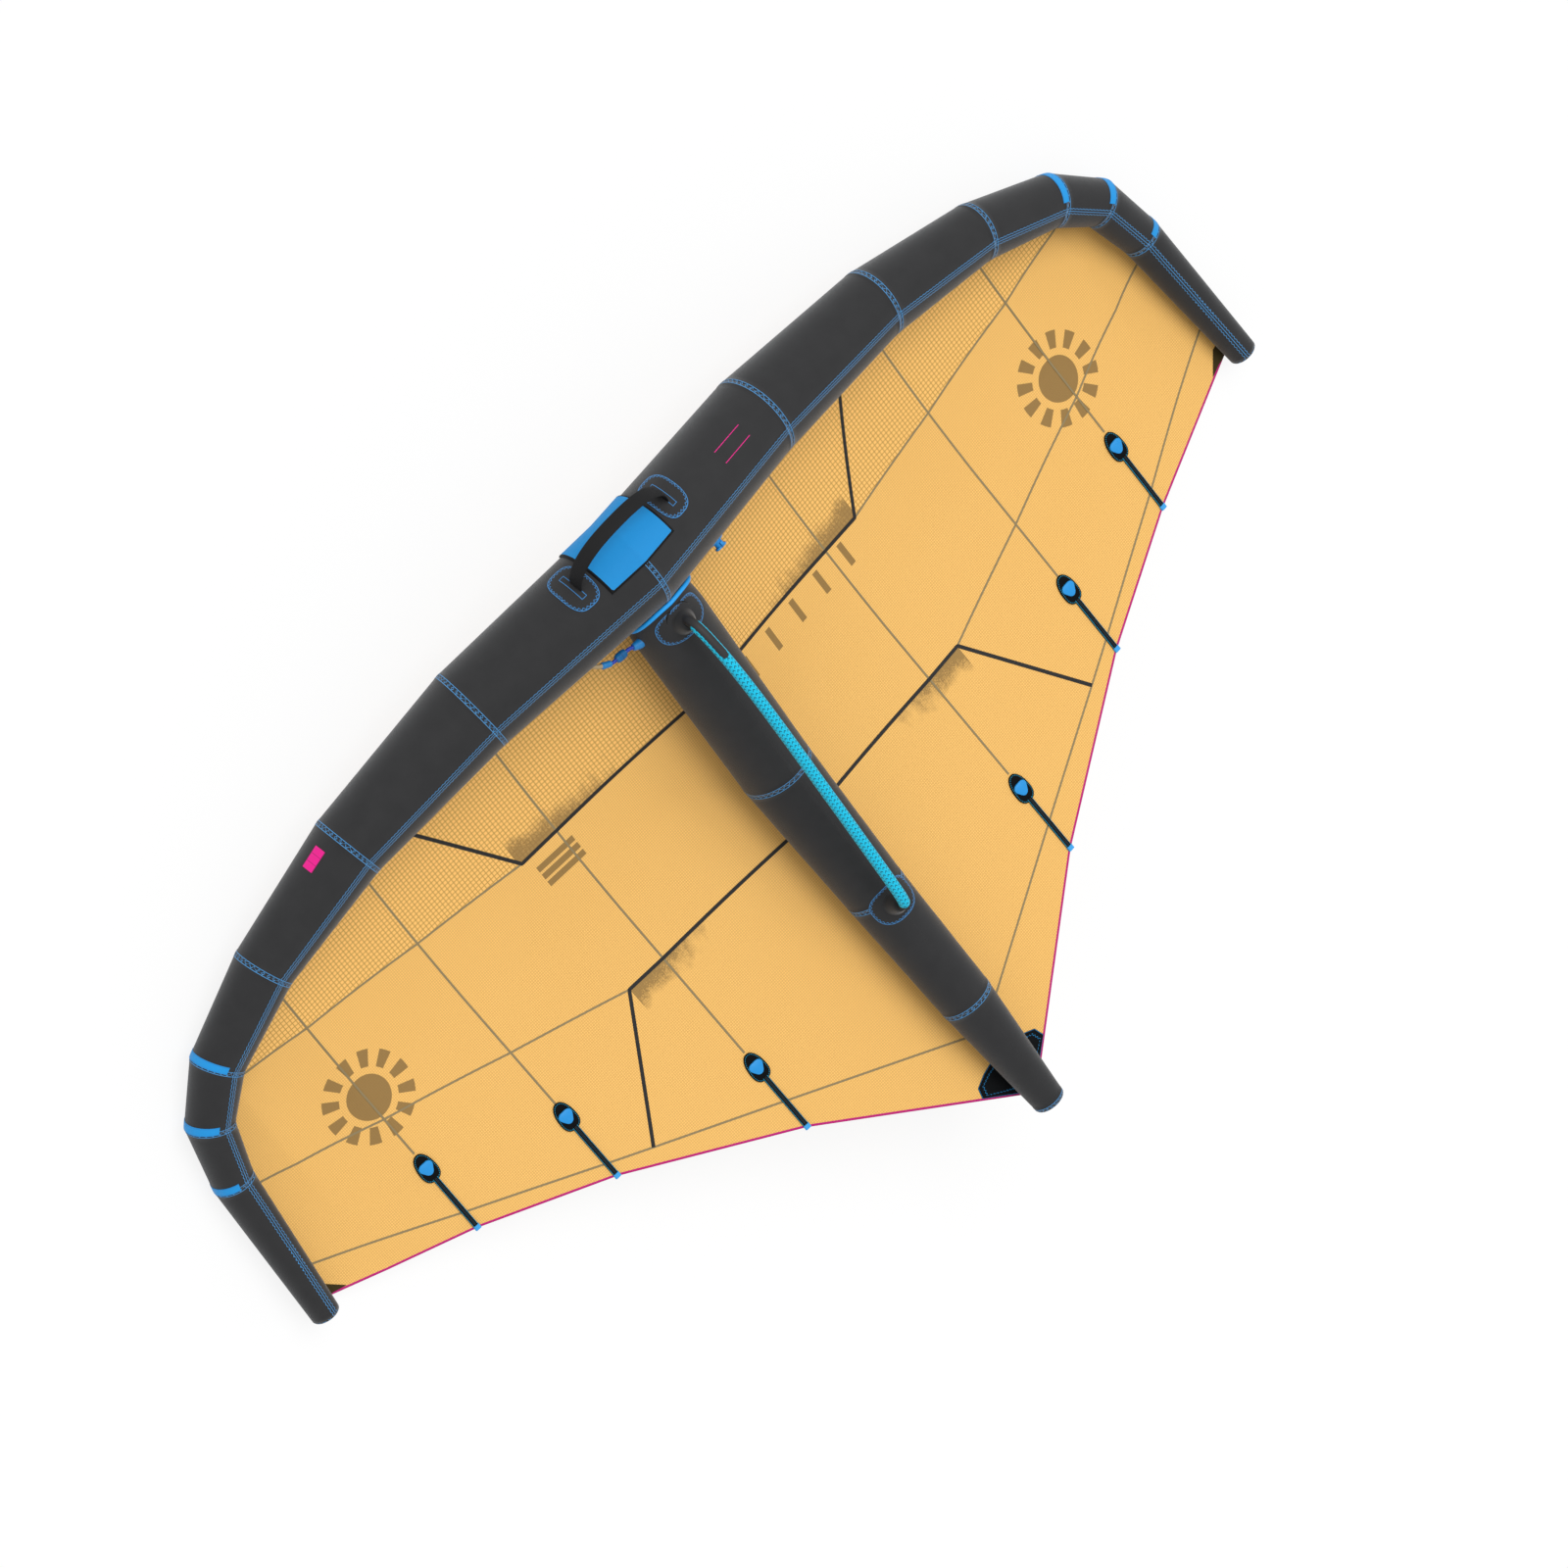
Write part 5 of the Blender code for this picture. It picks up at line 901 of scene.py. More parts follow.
def head_outline(centre):
    """Outline of a pocket's head: cosine and sine to the power of 0.84, its width shrinking by 0.3 in front."""
    swing = np.linspace(0.0, 2 * math.pi, 61)[:-1]
    narrow = 1.0 - 0.30 * (1 + np.sin(swing)) / 2
    wide, long = (np.sign(wave) * np.abs(wave) ** 0.84 for wave in (np.cos(swing), np.sin(swing)))
    return np.stack([HEAD_WIDTH / 2 * wide * narrow, centre + HEAD_LENGTH / 2 * long], axis=1)


def cap_outline(centre):
    """Outline of a batten's end cap: a circle with three low lobes."""
    swing = np.linspace(0.0, 2 * math.pi, 49)[:-1]
    reach = CAP_RADIUS * (1 + 0.12 * np.sin(3 * swing))
    return np.stack([reach * np.cos(swing), centre + reach * np.sin(swing)], axis=1)


def sleeve_patch(axes, start, stop, width, low, high, steps):
    """Flat sleeve along the batten: a low arch over a flat base, closed at both ends.

    The arch goes out as the cosine to the power of 0.6 and rises as the sine to the power of 0.5.
    """
    swing = np.linspace(0.0, math.pi, 13)
    a = np.concatenate([width / 2 * np.sign(np.cos(swing)) * np.abs(np.cos(swing)) ** 0.6, [width / 2]])
    up = np.concatenate([low + (high - low) * np.sin(swing) ** 0.5, [low]])
    b = np.linspace(start, stop, steps)
    b = np.concatenate([b[:1], b, b[-1:]])[:, None]
    thin = np.ones(len(b))[:, None]
    thin[0] = thin[-1] = 0.0
    points = set_out(axes, a[None, :] * thin, b, low + (up[None, :] - low) * thin)
    return points, {"sewing": pair(b, width / 2 - np.abs(a)[None, :] * thin)}, None


for column, length in zip((1, 2, 3), BATTEN_LENGTHS):
    axes = batten_axes(column)
    centre = np.array((0.0, length))
    head = domed_patch(axes, head_outline(length), centre, SEAT, HEAD_TOP, 0.0004)
    front = length - HEAD_LENGTH / 2 + POCKET_WIDTH / 2
    sleeve = sleeve_patch(axes, 0.0075, front, POCKET_WIDTH, SEAT, SEAT + POCKET_HEIGHT, 40)
    sleeve[1]["sewing"] = sleeve[1]["sewing"] + np.array((0.0, SLEEVE_MARK))
    tab = sleeve_patch(axes, TAB_START, TAB_STOP, TAB_WIDTH, SEAT, SEAT + TAB_HEIGHT, 8)
    rod = sleeve_patch(axes, ROD_START, length, ROD_WIDTH, SEAT + 0.0004, SEAT + 0.0022, 8)
    cap = domed_patch(axes, cap_outline(length), centre, HEAD_TOP + 0.0003, HEAD_TOP + 0.0035, 0.0020)
    patches = head, sleeve, tab, rod, cap
    for side, made in (("left", patches), ("right", [on_right(patch) for patch in patches])):
        make_piece(f"pocket_{side}_{column}", made[:2], POCKET_CLOTH,
                   f"batten_pocket_{side}_{column}")
        make_piece(f"pocket_tab_{side}_{column}", made[2:3], TAB_WEBBING)
        make_piece(f"batten_rod_and_cap_{side}_{column}", made[3:], BATTEN_BLUE,
                   f"batten_{side}_{column}", body=f"{side}_batten_{column}")


# ---------------------------------------------------------------------------------------------------------
# Corner reinforcements: dark cloth on the canopy round the strut's tail and at the two wing tips.
# Blue zigzag stitching runs a little inside their edges.

CORNER_CLOTH = 0.0008
TAIL_CORNERS = [(0.112, 1.590), (0.104, 1.562), (0.070, 1.545), (0.040, 1.536)]
TAIL_POINT, TAIL_MIDDLE = (0.0, 1.672), (0.0, 1.600)
TIP_CORNERS = [(1.630, 0.740), (1.610, 0.745), (1.566, 0.795), (1.600, 0.784), (1.630, 0.780)]
TIP_MIDDLE = (1.606, 0.770)
# Corner cloth: almost black and matt, edged by a blue zigzag, so that it reads as a sewn reinforcement.
PATCH_CLOTH, shader = new_finish("black_corner_cloth", "#0D0F11", 0.7, Specular_IOR_Level=0.08)
along, from_edge = woven(PATCH_CLOTH, shader, "sewing", BAND_WEAVE)
wave = zigzag(PATCH_CLOTH, along, 0.0095, 0.0020)
sewn = node(PATCH_CLOTH, "COMPARE", node(PATCH_CLOTH, "SUBTRACT", from_edge, wave), 0.0150, 0.0008)
sewn = node(PATCH_CLOTH, "MAXIMUM", sewn, node(PATCH_CLOTH, "COMPARE", from_edge, 0.0016, 0.0006))
tint(PATCH_CLOTH, shader, sewn, "#2B82B8")
emboss(PATCH_CLOTH, shader, sewn, 0.0004)


def corner_patch(corners, centre):
    """Flat closed pad on both faces of the canopy inside a polygon in plan: rows out from a centre."""
    corners = np.array(corners + corners[:1])
    marks = way_along(corners)
    way = np.unique(np.concatenate([np.arange(0.0, marks[-1], 0.004), marks]))
    rim = np.stack([np.interp(way, marks, corners[:, 0]), np.interp(way, marks, corners[:, 1])], axis=1)
    t = np.concatenate([np.linspace(0.0, 1.0, 12), [1.0], np.linspace(1.0, 0.0, 12)])[:, None]
    up = np.concatenate([np.full(12, CORNER_CLOTH), [-CANOPY_THICKNESS / 2],
                         np.full(12, -CANOPY_THICKNESS - CORNER_CLOTH)])[:, None]
    x = centre[0] + t * (rim[:, 0] - centre[0])[None]
    y = centre[1] + t * (rim[:, 1] - centre[1])[None]
    points, normal = canopy_at(np.abs(x), y)
    points = points * hand_of(x)
    points[..., 2] += up
    from_rim = (1 - t) * np.linalg.norm(rim - np.array(centre), axis=1)[None]
    middle = canopy_at(np.array([abs(centre[0])]), np.array([centre[1]]))[0][0]
    return points, {"sewing": pair(way[None, :], from_rim)}, middle - np.array((0.0, 0.0, CANOPY_THICKNESS / 2))


corners = TAIL_CORNERS + [(-x, y) for x, y in TAIL_CORNERS[::-1]] + [TAIL_POINT]
make_piece("tail_corner_cloth", [corner_patch(corners, TAIL_MIDDLE)], PATCH_CLOTH,
           "strut_tail_patch")
patch = corner_patch(TIP_CORNERS, TIP_MIDDLE)
# Tip cloth: dark cloth seen through the amber canopy, hence its warm brown.
TIP_CLOTH, shader = new_finish("dark_cloth_under_canopy", "#3A2F12", 0.65, Specular_IOR_Level=0.15)
woven(TIP_CLOTH, shader, "sewing", BAND_WEAVE)
for side, made in both_sides(patch):
    make_piece(f"tip_corner_cloth_{side}", [made], TIP_CLOTH, f"tip_patch_{side}")


# ---------------------------------------------------------------------------------------------------------
# Carrying handle: an arched strap of black webbing between two sewn oblong patches, on the front of the
# leading edge. A blue foam pad with a black bound edge under it keeps the board's nose off the cloth.

HANDLE_ANGLE = math.radians(140.0)
HANDLE_HALF_SPAN, HANDLE_RISE = 0.151, 0.108
BASE_HALF_SPAN, BASE_HALF_ROUND, BASE_TURN = 0.041, 0.070, math.radians(3.0)
STRAP_HALF_WIDTH, STRAP_FLATNESS = 0.0195, 0.14
EDGE_RADIUS = EDGE.radii[0]


def edge_surface(x, angle, lift):
    """Point on the leading edge at a span position on either side."""
    place = np.interp(np.abs(x), EDGE.centres[:, 0], np.arange(8.0))
    points = EDGE.point(place, angle, lift)
    return points * hand_of(np.broadcast_to(x, points.shape[:-1]))


# Base patches: the casing's own cloth, sewn down with a zigzag between two lines of blue thread.
# A long rectangle of stitches in the middle holds the strap's end.
SEWN_PATCH, shader = new_finish("sewn_base_patch_cloth", "#2C2C2D", 0.62, Sheen_Weight=0.55,
                                Sheen_Roughness=0.45, Sheen_Tint=linear("#B4B6B8"), Specular_IOR_Level=0.12)
along, from_edge = woven(SEWN_PATCH, shader, "sewing", SAIL_WEAVE)
flat_a, flat_b = uv(SEWN_PATCH, "flat")
wave = zigzag(SEWN_PATCH, along, 0.0115, 0.0022)
sewn = node(SEWN_PATCH, "COMPARE", node(SEWN_PATCH, "SUBTRACT", from_edge, wave), 0.0052, 0.0008)
sewn = node(SEWN_PATCH, "MAXIMUM", sewn, node(SEWN_PATCH, "COMPARE", from_edge, 0.0017, 0.0008))
box_a = node(SEWN_PATCH, "SUBTRACT", node(SEWN_PATCH, "ABSOLUTE", flat_a), 0.0065)
box_b = node(SEWN_PATCH, "SUBTRACT", node(SEWN_PATCH, "ABSOLUTE", flat_b), 0.0400)
box = node(SEWN_PATCH, "COMPARE", node(SEWN_PATCH, "MAXIMUM", box_a, box_b), 0.0, 0.0007)
tint(SEWN_PATCH, shader, node(SEWN_PATCH, "MAXIMUM", sewn, box), "#3C84C2")
emboss(SEWN_PATCH, shader, sewn, 0.0005)
# The curved slot of a grip's patch is a shallow bump dent painted near black: painted shade in the slot.
from_arc, off_front = uv(SEWN_PATCH, "slot")
slot_half = node(SEWN_PATCH, "MULTIPLY_ADD", node(SEWN_PATCH, "MULTIPLY", off_front, off_front), -0.0030, 0.0030)
slot_painted_shade = node(SEWN_PATCH, "LESS_THAN", node(SEWN_PATCH, "ABSOLUTE", from_arc), slot_half)
tint(SEWN_PATCH, shader, slot_painted_shade, "#040405")
emboss(SEWN_PATCH, shader, node(SEWN_PATCH, "MULTIPLY", slot_painted_shade, -1.0), 0.0015)

SEWN_THICKNESS = 0.0010


def oblong(half_a, half_b, power):
    """Outline of a rounded oblong: each half size times the cosine or sine to the power of 2 / power."""
    swing = np.linspace(0.0, 2 * math.pi, 121)
    cosine, sine = np.cos(swing), np.sin(swing)
    return (half_a * np.sign(cosine) * np.abs(cosine) ** (2 / power),
            half_b * np.sign(sine) * np.abs(sine) ** (2 / power))


def sewn_patch(surface, half_a, half_b, inside, power=2.9, slot=None):
    """Cloth patch on a curved surface: rows from the middle out to its rounded oblong rim, then down the edge.

    A grip's patch has an arched slot, given by the neck's rearward place, the arch's radius and its half turn.
    """
    rim_a, rim_b = oblong(half_a, half_b, power)
    t = np.concatenate([np.linspace(0.0, 0.985, 22), [1.0, 1.0]])[:, None]
    lift = np.concatenate([np.full(22, SEWN_THICKNESS), [SEWN_THICKNESS * 0.6, 0.0]])[:, None]
    a, b = t * rim_a[None], t * rim_b[None]
    way = way_along(np.stack([rim_a, rim_b], axis=1))[None, :]
    size = np.hypot(rim_a, rim_b)[None, :]
    # On the long sides the way in from the rim is not much more than the smaller half size.
    from_rim = (1 - t) * np.minimum(size, min(half_a, half_b) * 1.25)
    points = surface(a, b, lift)
    maps = {"sewing": pair(way, from_rim), "flat": pair(a, b), "slot": pair(1.0, 1.0)}
    if slot is None:
        return points, maps, inside
    neck, radius, half_turn = slot
    from_arc = np.hypot(points[..., 0], points[..., 1] - neck) - radius
    off_front = np.arctan2(np.abs(points[..., 0]), neck - points[..., 1]) / half_turn
    return points, maps | {"flat": pair(1.0, 1.0), "slot": pair(from_arc, off_front)}, inside


patch_angle = HANDLE_ANGLE + BASE_TURN
for side, hand in (("left", 1.0), ("right", -1.0)):
    def over_edge(a, b, lift, hand=hand):
        return edge_surface(hand * (HANDLE_HALF_SPAN + a), patch_angle + b / EDGE_RADIUS, lift + BAND_LIFT)
    patch = sewn_patch(over_edge, BASE_HALF_SPAN, BASE_HALF_ROUND, EDGE.centres[0])
    make_piece(f"strap_base_{side}", [patch], SEWN_PATCH, f"handle_patch_{side}")

# Strap webbing: dark and matt, with ribs across and cords along it that catch a little light, and a painted
# highlight that makes the ribs' crests a little lighter.
WEBBING, shader = new_finish("black_strap_webbing", "#1C1C1D", 0.62, Specular_IOR_Level=0.12)
around, along = uv(WEBBING, "piping")
ribs, cords = ripple(WEBBING, along, 0.0028), ripple(WEBBING, around, 0.0040)
emboss(WEBBING, shader, node(WEBBING, "MULTIPLY_ADD", ribs, 0.4, cords), 0.00012)
# Painted highlight: the ribs' crests are painted lighter.
tint(WEBBING, shader, node(WEBBING, "MULTIPLY_ADD", ribs, 0.08, 0.08), "#303032")
outward = np.array((0.0, math.cos(HANDLE_ANGLE), math.sin(HANDLE_ANGLE)))
cross_way = np.array((0.0, -math.sin(HANDLE_ANGLE), math.cos(HANDLE_ANGLE)))
swing = np.linspace(0.0, math.pi, 90)
foot = edge_surface(HANDLE_HALF_SPAN, HANDLE_ANGLE, 0.0012)
strap_x = HANDLE_HALF_SPAN * np.sign(np.cos(swing)) * np.abs(np.cos(swing)) ** 0.8
rise = HANDLE_RISE * np.sin(swing) ** 0.9
strap_path = np.stack([strap_x, np.full(90, foot[1]), np.full(90, foot[2])], axis=1) + outward * rise[:, None]
strap = closed_rod(strap_path, STRAP_HALF_WIDTH, 36, cross_way, "piping", flat=(1.0, STRAP_FLATNESS))
make_piece("carry_strap", [strap], WEBBING, "handle_strap")

PAD_BINDING, PAD_EDGE, PAD_LOW, PAD_HIGH, PORE = 0.0060, 0.0045, 0.0008, 0.0042, 0.00045
# Pad foam: a soft matt blue with fine pores, and a black binding round its rim.
PAD_FOAM, shader = new_finish("blue_eva_foam", "#1B8CD0", 0.60, Specular_IOR_Level=0.2)
along, from_edge = uv(PAD_FOAM, "sewing")
own_place = node(PAD_FOAM, "TexCoord").node.outputs["Object"]
pores = node(PAD_FOAM, "TexNoise", {"Vector": own_place, "Scale": 1 / PORE, "Detail": 4.0})
emboss(PAD_FOAM, shader, pores, 0.0003)
tint(PAD_FOAM, shader, node(PAD_FOAM, "MULTIPLY", pores, 0.4), "#1378B8")
tint(PAD_FOAM, shader, node(PAD_FOAM, "LESS_THAN", from_edge, PAD_BINDING), "#08090A")
PAD_HALF = HANDLE_HALF_SPAN * 0.685
PAD_MIDDLE = math.radians(157.0)
PAD_HALF_ROUND = math.radians(51.0) * EDGE_RADIUS


def over_pad(a, b, lift):
    """Point of the pad a along the span and b round the tube: the pad is a rectangle laid round the tube."""
    return edge_surface(a + b * 0, PAD_MIDDLE + b / EDGE_RADIUS, lift)


steps = np.concatenate([[-1.0, -0.993, -0.982, -0.966, -0.945], np.linspace(-0.91, 0.91, 45),
                        [0.945, 0.966, 0.982, 0.993, 1.0]])
pad_a, pad_b = PAD_HALF * steps[None, :], PAD_HALF_ROUND * steps[:, None]
from_rim = np.minimum(PAD_HALF - np.abs(pad_a), PAD_HALF_ROUND - np.abs(pad_b))
eased = np.clip(from_rim / PAD_EDGE, 0.0, 1.0)
height = PAD_LOW + PAD_HIGH * np.sqrt(1 - (1 - eased) ** 2) + 0.0008 * np.clip(from_rim / 0.05, 0.0, 1.0)
maps = {"sewing": pair(pad_a + pad_b * 0, from_rim)}
above = EDGE.centres[0] + np.array((0.0, math.cos(PAD_MIDDLE), math.sin(PAD_MIDDLE))) * 9.0
pad = make_piece("nose_pad", [(over_pad(pad_a, pad_b, height), maps, EDGE.centres[0]),
                              (over_pad(pad_a, pad_b, PAD_LOW), maps, above)], PAD_FOAM, "handle_pad")


# ---------------------------------------------------------------------------------------------------------
# Grip bases: a round boss under each end of the hand grip, covered by a sewn patch of the casing's cloth.
# The grip goes in at the top; a curved slot ahead of it lets its fixing pin be pressed.

GRIP_PLACES = (STRUT_LENGTH * -0.0148, STRUT_LENGTH * 0.5806)
PATCH_WIDTHS, PATCH_LENGTHS = (0.080, 0.069), (0.044, 0.050)
BOSS_RADIUS, BOSS_HEIGHT, BOSS_TOP = 0.034, 0.022, 0.0165
SLOTS = ((0.0390, math.radians(78.0)), (0.0365, math.radians(44.0)))
# Boss cloth: near black with a weak sheen, one darker ring of stitches at its foot.
BOSS, shader = new_finish("black_boss_cloth", "#212122", 0.6, Sheen_Weight=0.3, Specular_IOR_Level=0.2)
_, from_edge = woven(BOSS, shader, "sewing", BAND_WEAVE)
tint(BOSS, shader, node(BOSS, "COMPARE", from_edge, 0.0490, 0.0006), "#1B1B1C")
for index, end in enumerate(("front", "rear")):
    y0 = GRIP_PLACES[index]
    radius = STRUT.radii[int(round(float(strut_place(y0))))]

    def over_strut(a, b, lift, y0=y0, radius=radius, front=(end == "front")):
        angle = math.pi / 2 + a / radius
        y = y0 - 0.003 + b
        if front:
            y = np.maximum(y, crease_y(angle, PIPING_RADIUS) + 0.0045)
        return STRUT.point(strut_place(y), angle, lift)

    patch = sewn_patch(over_strut, PATCH_WIDTHS[index], PATCH_LENGTHS[index],
                       np.array((0.0, y0, STRUT.point(strut_place(y0), math.pi / 2)[2] - 0.1)), power=2.5,
                       slot=(y0, *SLOTS[index]))
    make_piece(f"grip_base_patch_{end}", [patch], SEWN_PATCH, f"{end}_grip_patch")
    reach = np.concatenate([np.linspace(BOSS_RADIUS, BOSS_TOP, 22), [BOSS_TOP - 0.003, 0.004, 0.0]])[:, None]
    swing = np.linspace(0.0, 2 * math.pi, 97)[None, :]
    rise = np.clip((BOSS_RADIUS - reach) / (BOSS_RADIUS - BOSS_TOP), 0.0, 1.0)
    rise = BOSS_HEIGHT * rise * rise * (3 - 2 * rise)
    x, y = reach * np.cos(swing), reach * np.sin(swing)
    ground = STRUT.point(strut_place(y0 + y), math.pi / 2 + np.arcsin(x / radius), 0.0011)
    ground[..., 2] += rise
    maps = {"sewing": pair(swing * 0.03, reach + 0.02)}
    make_piece(f"grip_boss_{end}", [(ground, maps, np.array((0.0, y0, ground[..., 2].min() - 0.01)))], BOSS,
               f"{end}_grip_base")


# ---------------------------------------------------------------------------------------------------------
# Hand grip: one long bent bar over the strut, held at both ends. Its core is a black rubber-covered tube
# that shows at the ends, and the hands hold a turquoise moulded sleeve with small chevrons pressed in.

GRIP_TOP = 0.184
BAR_RADIUS, SLEEVE_RADIUS = 0.0115, 0.0146
SLEEVE_START, SLEEVE_STOP, SLEEVE_EASE = 0.030, 0.034, 0.010
GRIP_SHARES = np.array(((0.0, 0.728), (0.006, 0.793), (0.020, 0.853), (0.051, 0.913), (0.108, 0.984),
                        (0.184, 1.0), (0.260, 0.987), (0.363, 0.935), (0.463, 0.870), (0.562, 0.799),
                        (0.657, 0.734), (0.751, 0.663), (0.840, 0.598), (0.910, 0.538), (0.960, 0.489),
                        (0.985, 0.446), (0.998, 0.385), (1.0, 0.316)))
reach = GRIP_PLACES[1] - GRIP_PLACES[0]
route = np.stack([GRIP_SHARES[:, 0] * 0.0, GRIP_PLACES[0] + reach * GRIP_SHARES[:, 0],
                  GRIP_TOP * GRIP_SHARES[:, 1]], axis=1)


def smoothed(points, step):
    """Even steps along a polyline whose corners are eased by a running mean with fixed ends."""
    marks = way_along(points)
    count = int(marks[-1] / step)
    way = np.linspace(0.0, marks[-1], count)
    even = np.stack([np.interp(way, marks, points[:, axis]) for axis in range(3)], axis=1)
    for _ in range(30):
        even[1:-1] = (even[:-2] + 2 * even[1:-1] + even[2:]) / 4
    return even, way


seats = []
for index in (0, 1):
    top = STRUT.point(strut_place(GRIP_PLACES[index]), math.pi / 2)[2]
    seats.append(np.array((0.0, GRIP_PLACES[index], top + BOSS_HEIGHT - 0.006)))
bar_path, bar_way = smoothed(np.vstack([seats[0][None], route, seats[1][None]]), 0.005)
RUBBER_GRAIN = 0.0005
# Grip rubber: near black, with an even grain of 0.5 mm and a soft shine along the bar.
RUBBER, shader = new_finish("black_grip_rubber", "#2B2B2C", 0.50, Specular_IOR_Level=0.25)
own_place = node(RUBBER, "TexCoord").node.outputs["Object"]
pores = node(RUBBER, "TexNoise", {"Vector": own_place, "Scale": 1 / RUBBER_GRAIN, "Detail": 3.0})
emboss(RUBBER, shader, pores, 0.0002)
tint(RUBBER, shader, pores, "#313132")
bar = closed_rod(bar_path, BAR_RADIUS, 32, (1.0, 0.0, 0.0), "piping")
make_piece("grip_bar", [bar], RUBBER, "grip_tube", body="grip")

# Moulded EVA foam: an even turquoise with pressed-in darker chevrons in rows 9 mm apart round the sleeve. They
# are 1.5 mm wide and are drawn 3.4 mm wide, so that they show as a fine pattern from some metres away.
SLEEVE, shader = new_finish("turquoise_moulded_eva", "#14BEE2", 0.55, Specular_IOR_Level=0.25)
around, along = uv(SLEEVE, "piping")
column_way = node(SLEEVE, "DIVIDE", around, 0.00917)
odd = node(SLEEVE, "FLOORED_MODULO", node(SLEEVE, "FLOOR", column_way), 2.0)
row_way = node(SLEEVE, "FRACT", node(SLEEVE, "MULTIPLY_ADD", odd, 0.5, node(SLEEVE, "DIVIDE", along, 0.0130)))
aside = node(SLEEVE, "ABSOLUTE", node(SLEEVE, "SUBTRACT", node(SLEEVE, "FRACT", column_way), 0.5))
tip = node(SLEEVE, "MULTIPLY_ADD", aside, 0.9, 0.25)
chevrons = node(SLEEVE, "COMPARE", row_way, tip, 0.13)
chevrons = node(SLEEVE, "MULTIPLY", chevrons, node(SLEEVE, "LESS_THAN", aside, 0.38))
tint(SLEEVE, shader, node(SLEEVE, "MULTIPLY", chevrons, 0.90), "#0A5468")
emboss(SLEEVE, shader, node(SLEEVE, "MULTIPLY", chevrons, -1.0), 0.0009)
covered = (bar_way > SLEEVE_START) & (bar_way < bar_way[-1] - SLEEVE_STOP)
sleeve_path = bar_path[covered]
sleeve_way = bar_way[covered] - bar_way[covered][0]
ease = np.clip(np.minimum(sleeve_way, sleeve_way[-1] - sleeve_way) / SLEEVE_EASE, 0.0, 1.0)
sleeve_radii = SLEEVE_RADIUS * np.sqrt(np.clip(1 - (1 - ease) ** 2, 0.35, 1.0))
sleeve = closed_rod(sleeve_path, sleeve_radii, 40, (1.0, 0.0, 0.0), "piping")
make_piece("grip_hand_sleeve", [sleeve], SLEEVE, "grip_sleeve", body="grip")

# The black cover of the front end runs out over the sleeve's upper side in a rounded tongue.
t = np.linspace(0.0, 1.0, 60)[:, None]
swing = np.linspace(-1.0, 1.0, 21)[None, :]
stretch = bar_path[(bar_way > 0.012) & (bar_way < 0.146)]
marks = np.linspace(0.0, 1.0, len(stretch))
middle = np.stack([np.interp(t[:, 0], marks, stretch[:, axis]) for axis in range(3)], axis=1)
along = unit(np.gradient(middle, axis=0))
side = np.array((1.0, 0.0, 0.0))
over = unit(np.cross(side, along))
over = over * np.where(over[:, 2:] < 0, -1.0, 1.0)
half_turn = math.radians(44.0) * np.sqrt(np.clip(1 - np.clip((t - 0.86) / 0.14, 0, 1) ** 2, 0.0, 1.0))
height = SLEEVE_RADIUS + 0.0012 * np.clip((1 - np.abs(swing)) * 8, 0.0, 1.0) * np.clip((1.0 - t) * 30, 0.0, 1.0)
tongue = (middle[:, None] + (height * np.sin(half_turn * swing))[..., None] * side
          + (height * np.cos(half_turn * swing))[..., None] * over[:, None])
make_piece("grip_front_tongue", [(tongue, {"piping": pair(swing * 0.018, t * 0.12)}, None)], RUBBER,
           body="grip")


# ---------------------------------------------------------------------------------------------------------
# Inflation valve, hose and clip: blue moulded polyurethane and a harder clip. The valve keeps its solid shape.
# The valve's lid closes its stem, and the clip squeezes the hose that joins the two air bladders.

VALVE_X, VALVE_ANGLE = -0.205, math.radians(16.0)
ROUNDING, VALVE_GRAIN = 0.0006, 0.00025      # radius of the moulded parts' edges, and size of their grain
# Moulded polyurethane: a satin blue with slightly darker clouds and a fine grain, which reads as soft plastic.
VALVE_PLASTIC, shader = new_finish("blue_moulded_polyurethane", "#1A90DA", 0.38, Specular_IOR_Level=0.4)
own_place = node(VALVE_PLASTIC, "TexCoord").node.outputs["Object"]
grain = node(VALVE_PLASTIC, "TexNoise", {"Vector": own_place, "Scale": 1 / VALVE_GRAIN, "Detail": 3.0})
tint(VALVE_PLASTIC, shader, node(VALVE_PLASTIC, "MULTIPLY", grain, 0.6), "#1B79BE")
emboss(VALVE_PLASTIC, shader, grain, 0.0002)
for name in ("valve_base", "valve_cap"):
    solid = bpy.data.objects[name]
    for slot in solid.material_slots:
        slot.material = VALVE_PLASTIC
    rounding = solid.modifiers.new("soft_edges", "BEVEL")
    rounding.width = ROUNDING
    rounding.segments = 2

# The valve's welded flange lies on the casing: a ring whose outline, in distance from the stem and height over
# the cloth, is turned round the stem and laid on the tube.
flange_reach = np.array((0.0116, 0.0118, 0.0132, 0.0175, 0.0215, 0.0232, 0.0236, 0.0116))[:, None]
flange_rise = np.array((-0.0005, 0.0042, 0.0046, 0.0040, 0.0030, 0.0014, -0.0005, -0.0005))[:, None]
swing = np.linspace(0.0, 2 * math.pi, 49)[None, :]
flange = edge_surface(VALVE_X + flange_reach * np.cos(swing),
                      VALVE_ANGLE + flange_reach * np.sin(swing) / EDGE_RADIUS, flange_rise + 0 * swing)
make_piece("valve_flange", [(flange, {"piping": pair(swing, flange_reach)}, edge_surface(
    np.array(VALVE_X), VALVE_ANGLE, -0.05))], VALVE_PLASTIC)

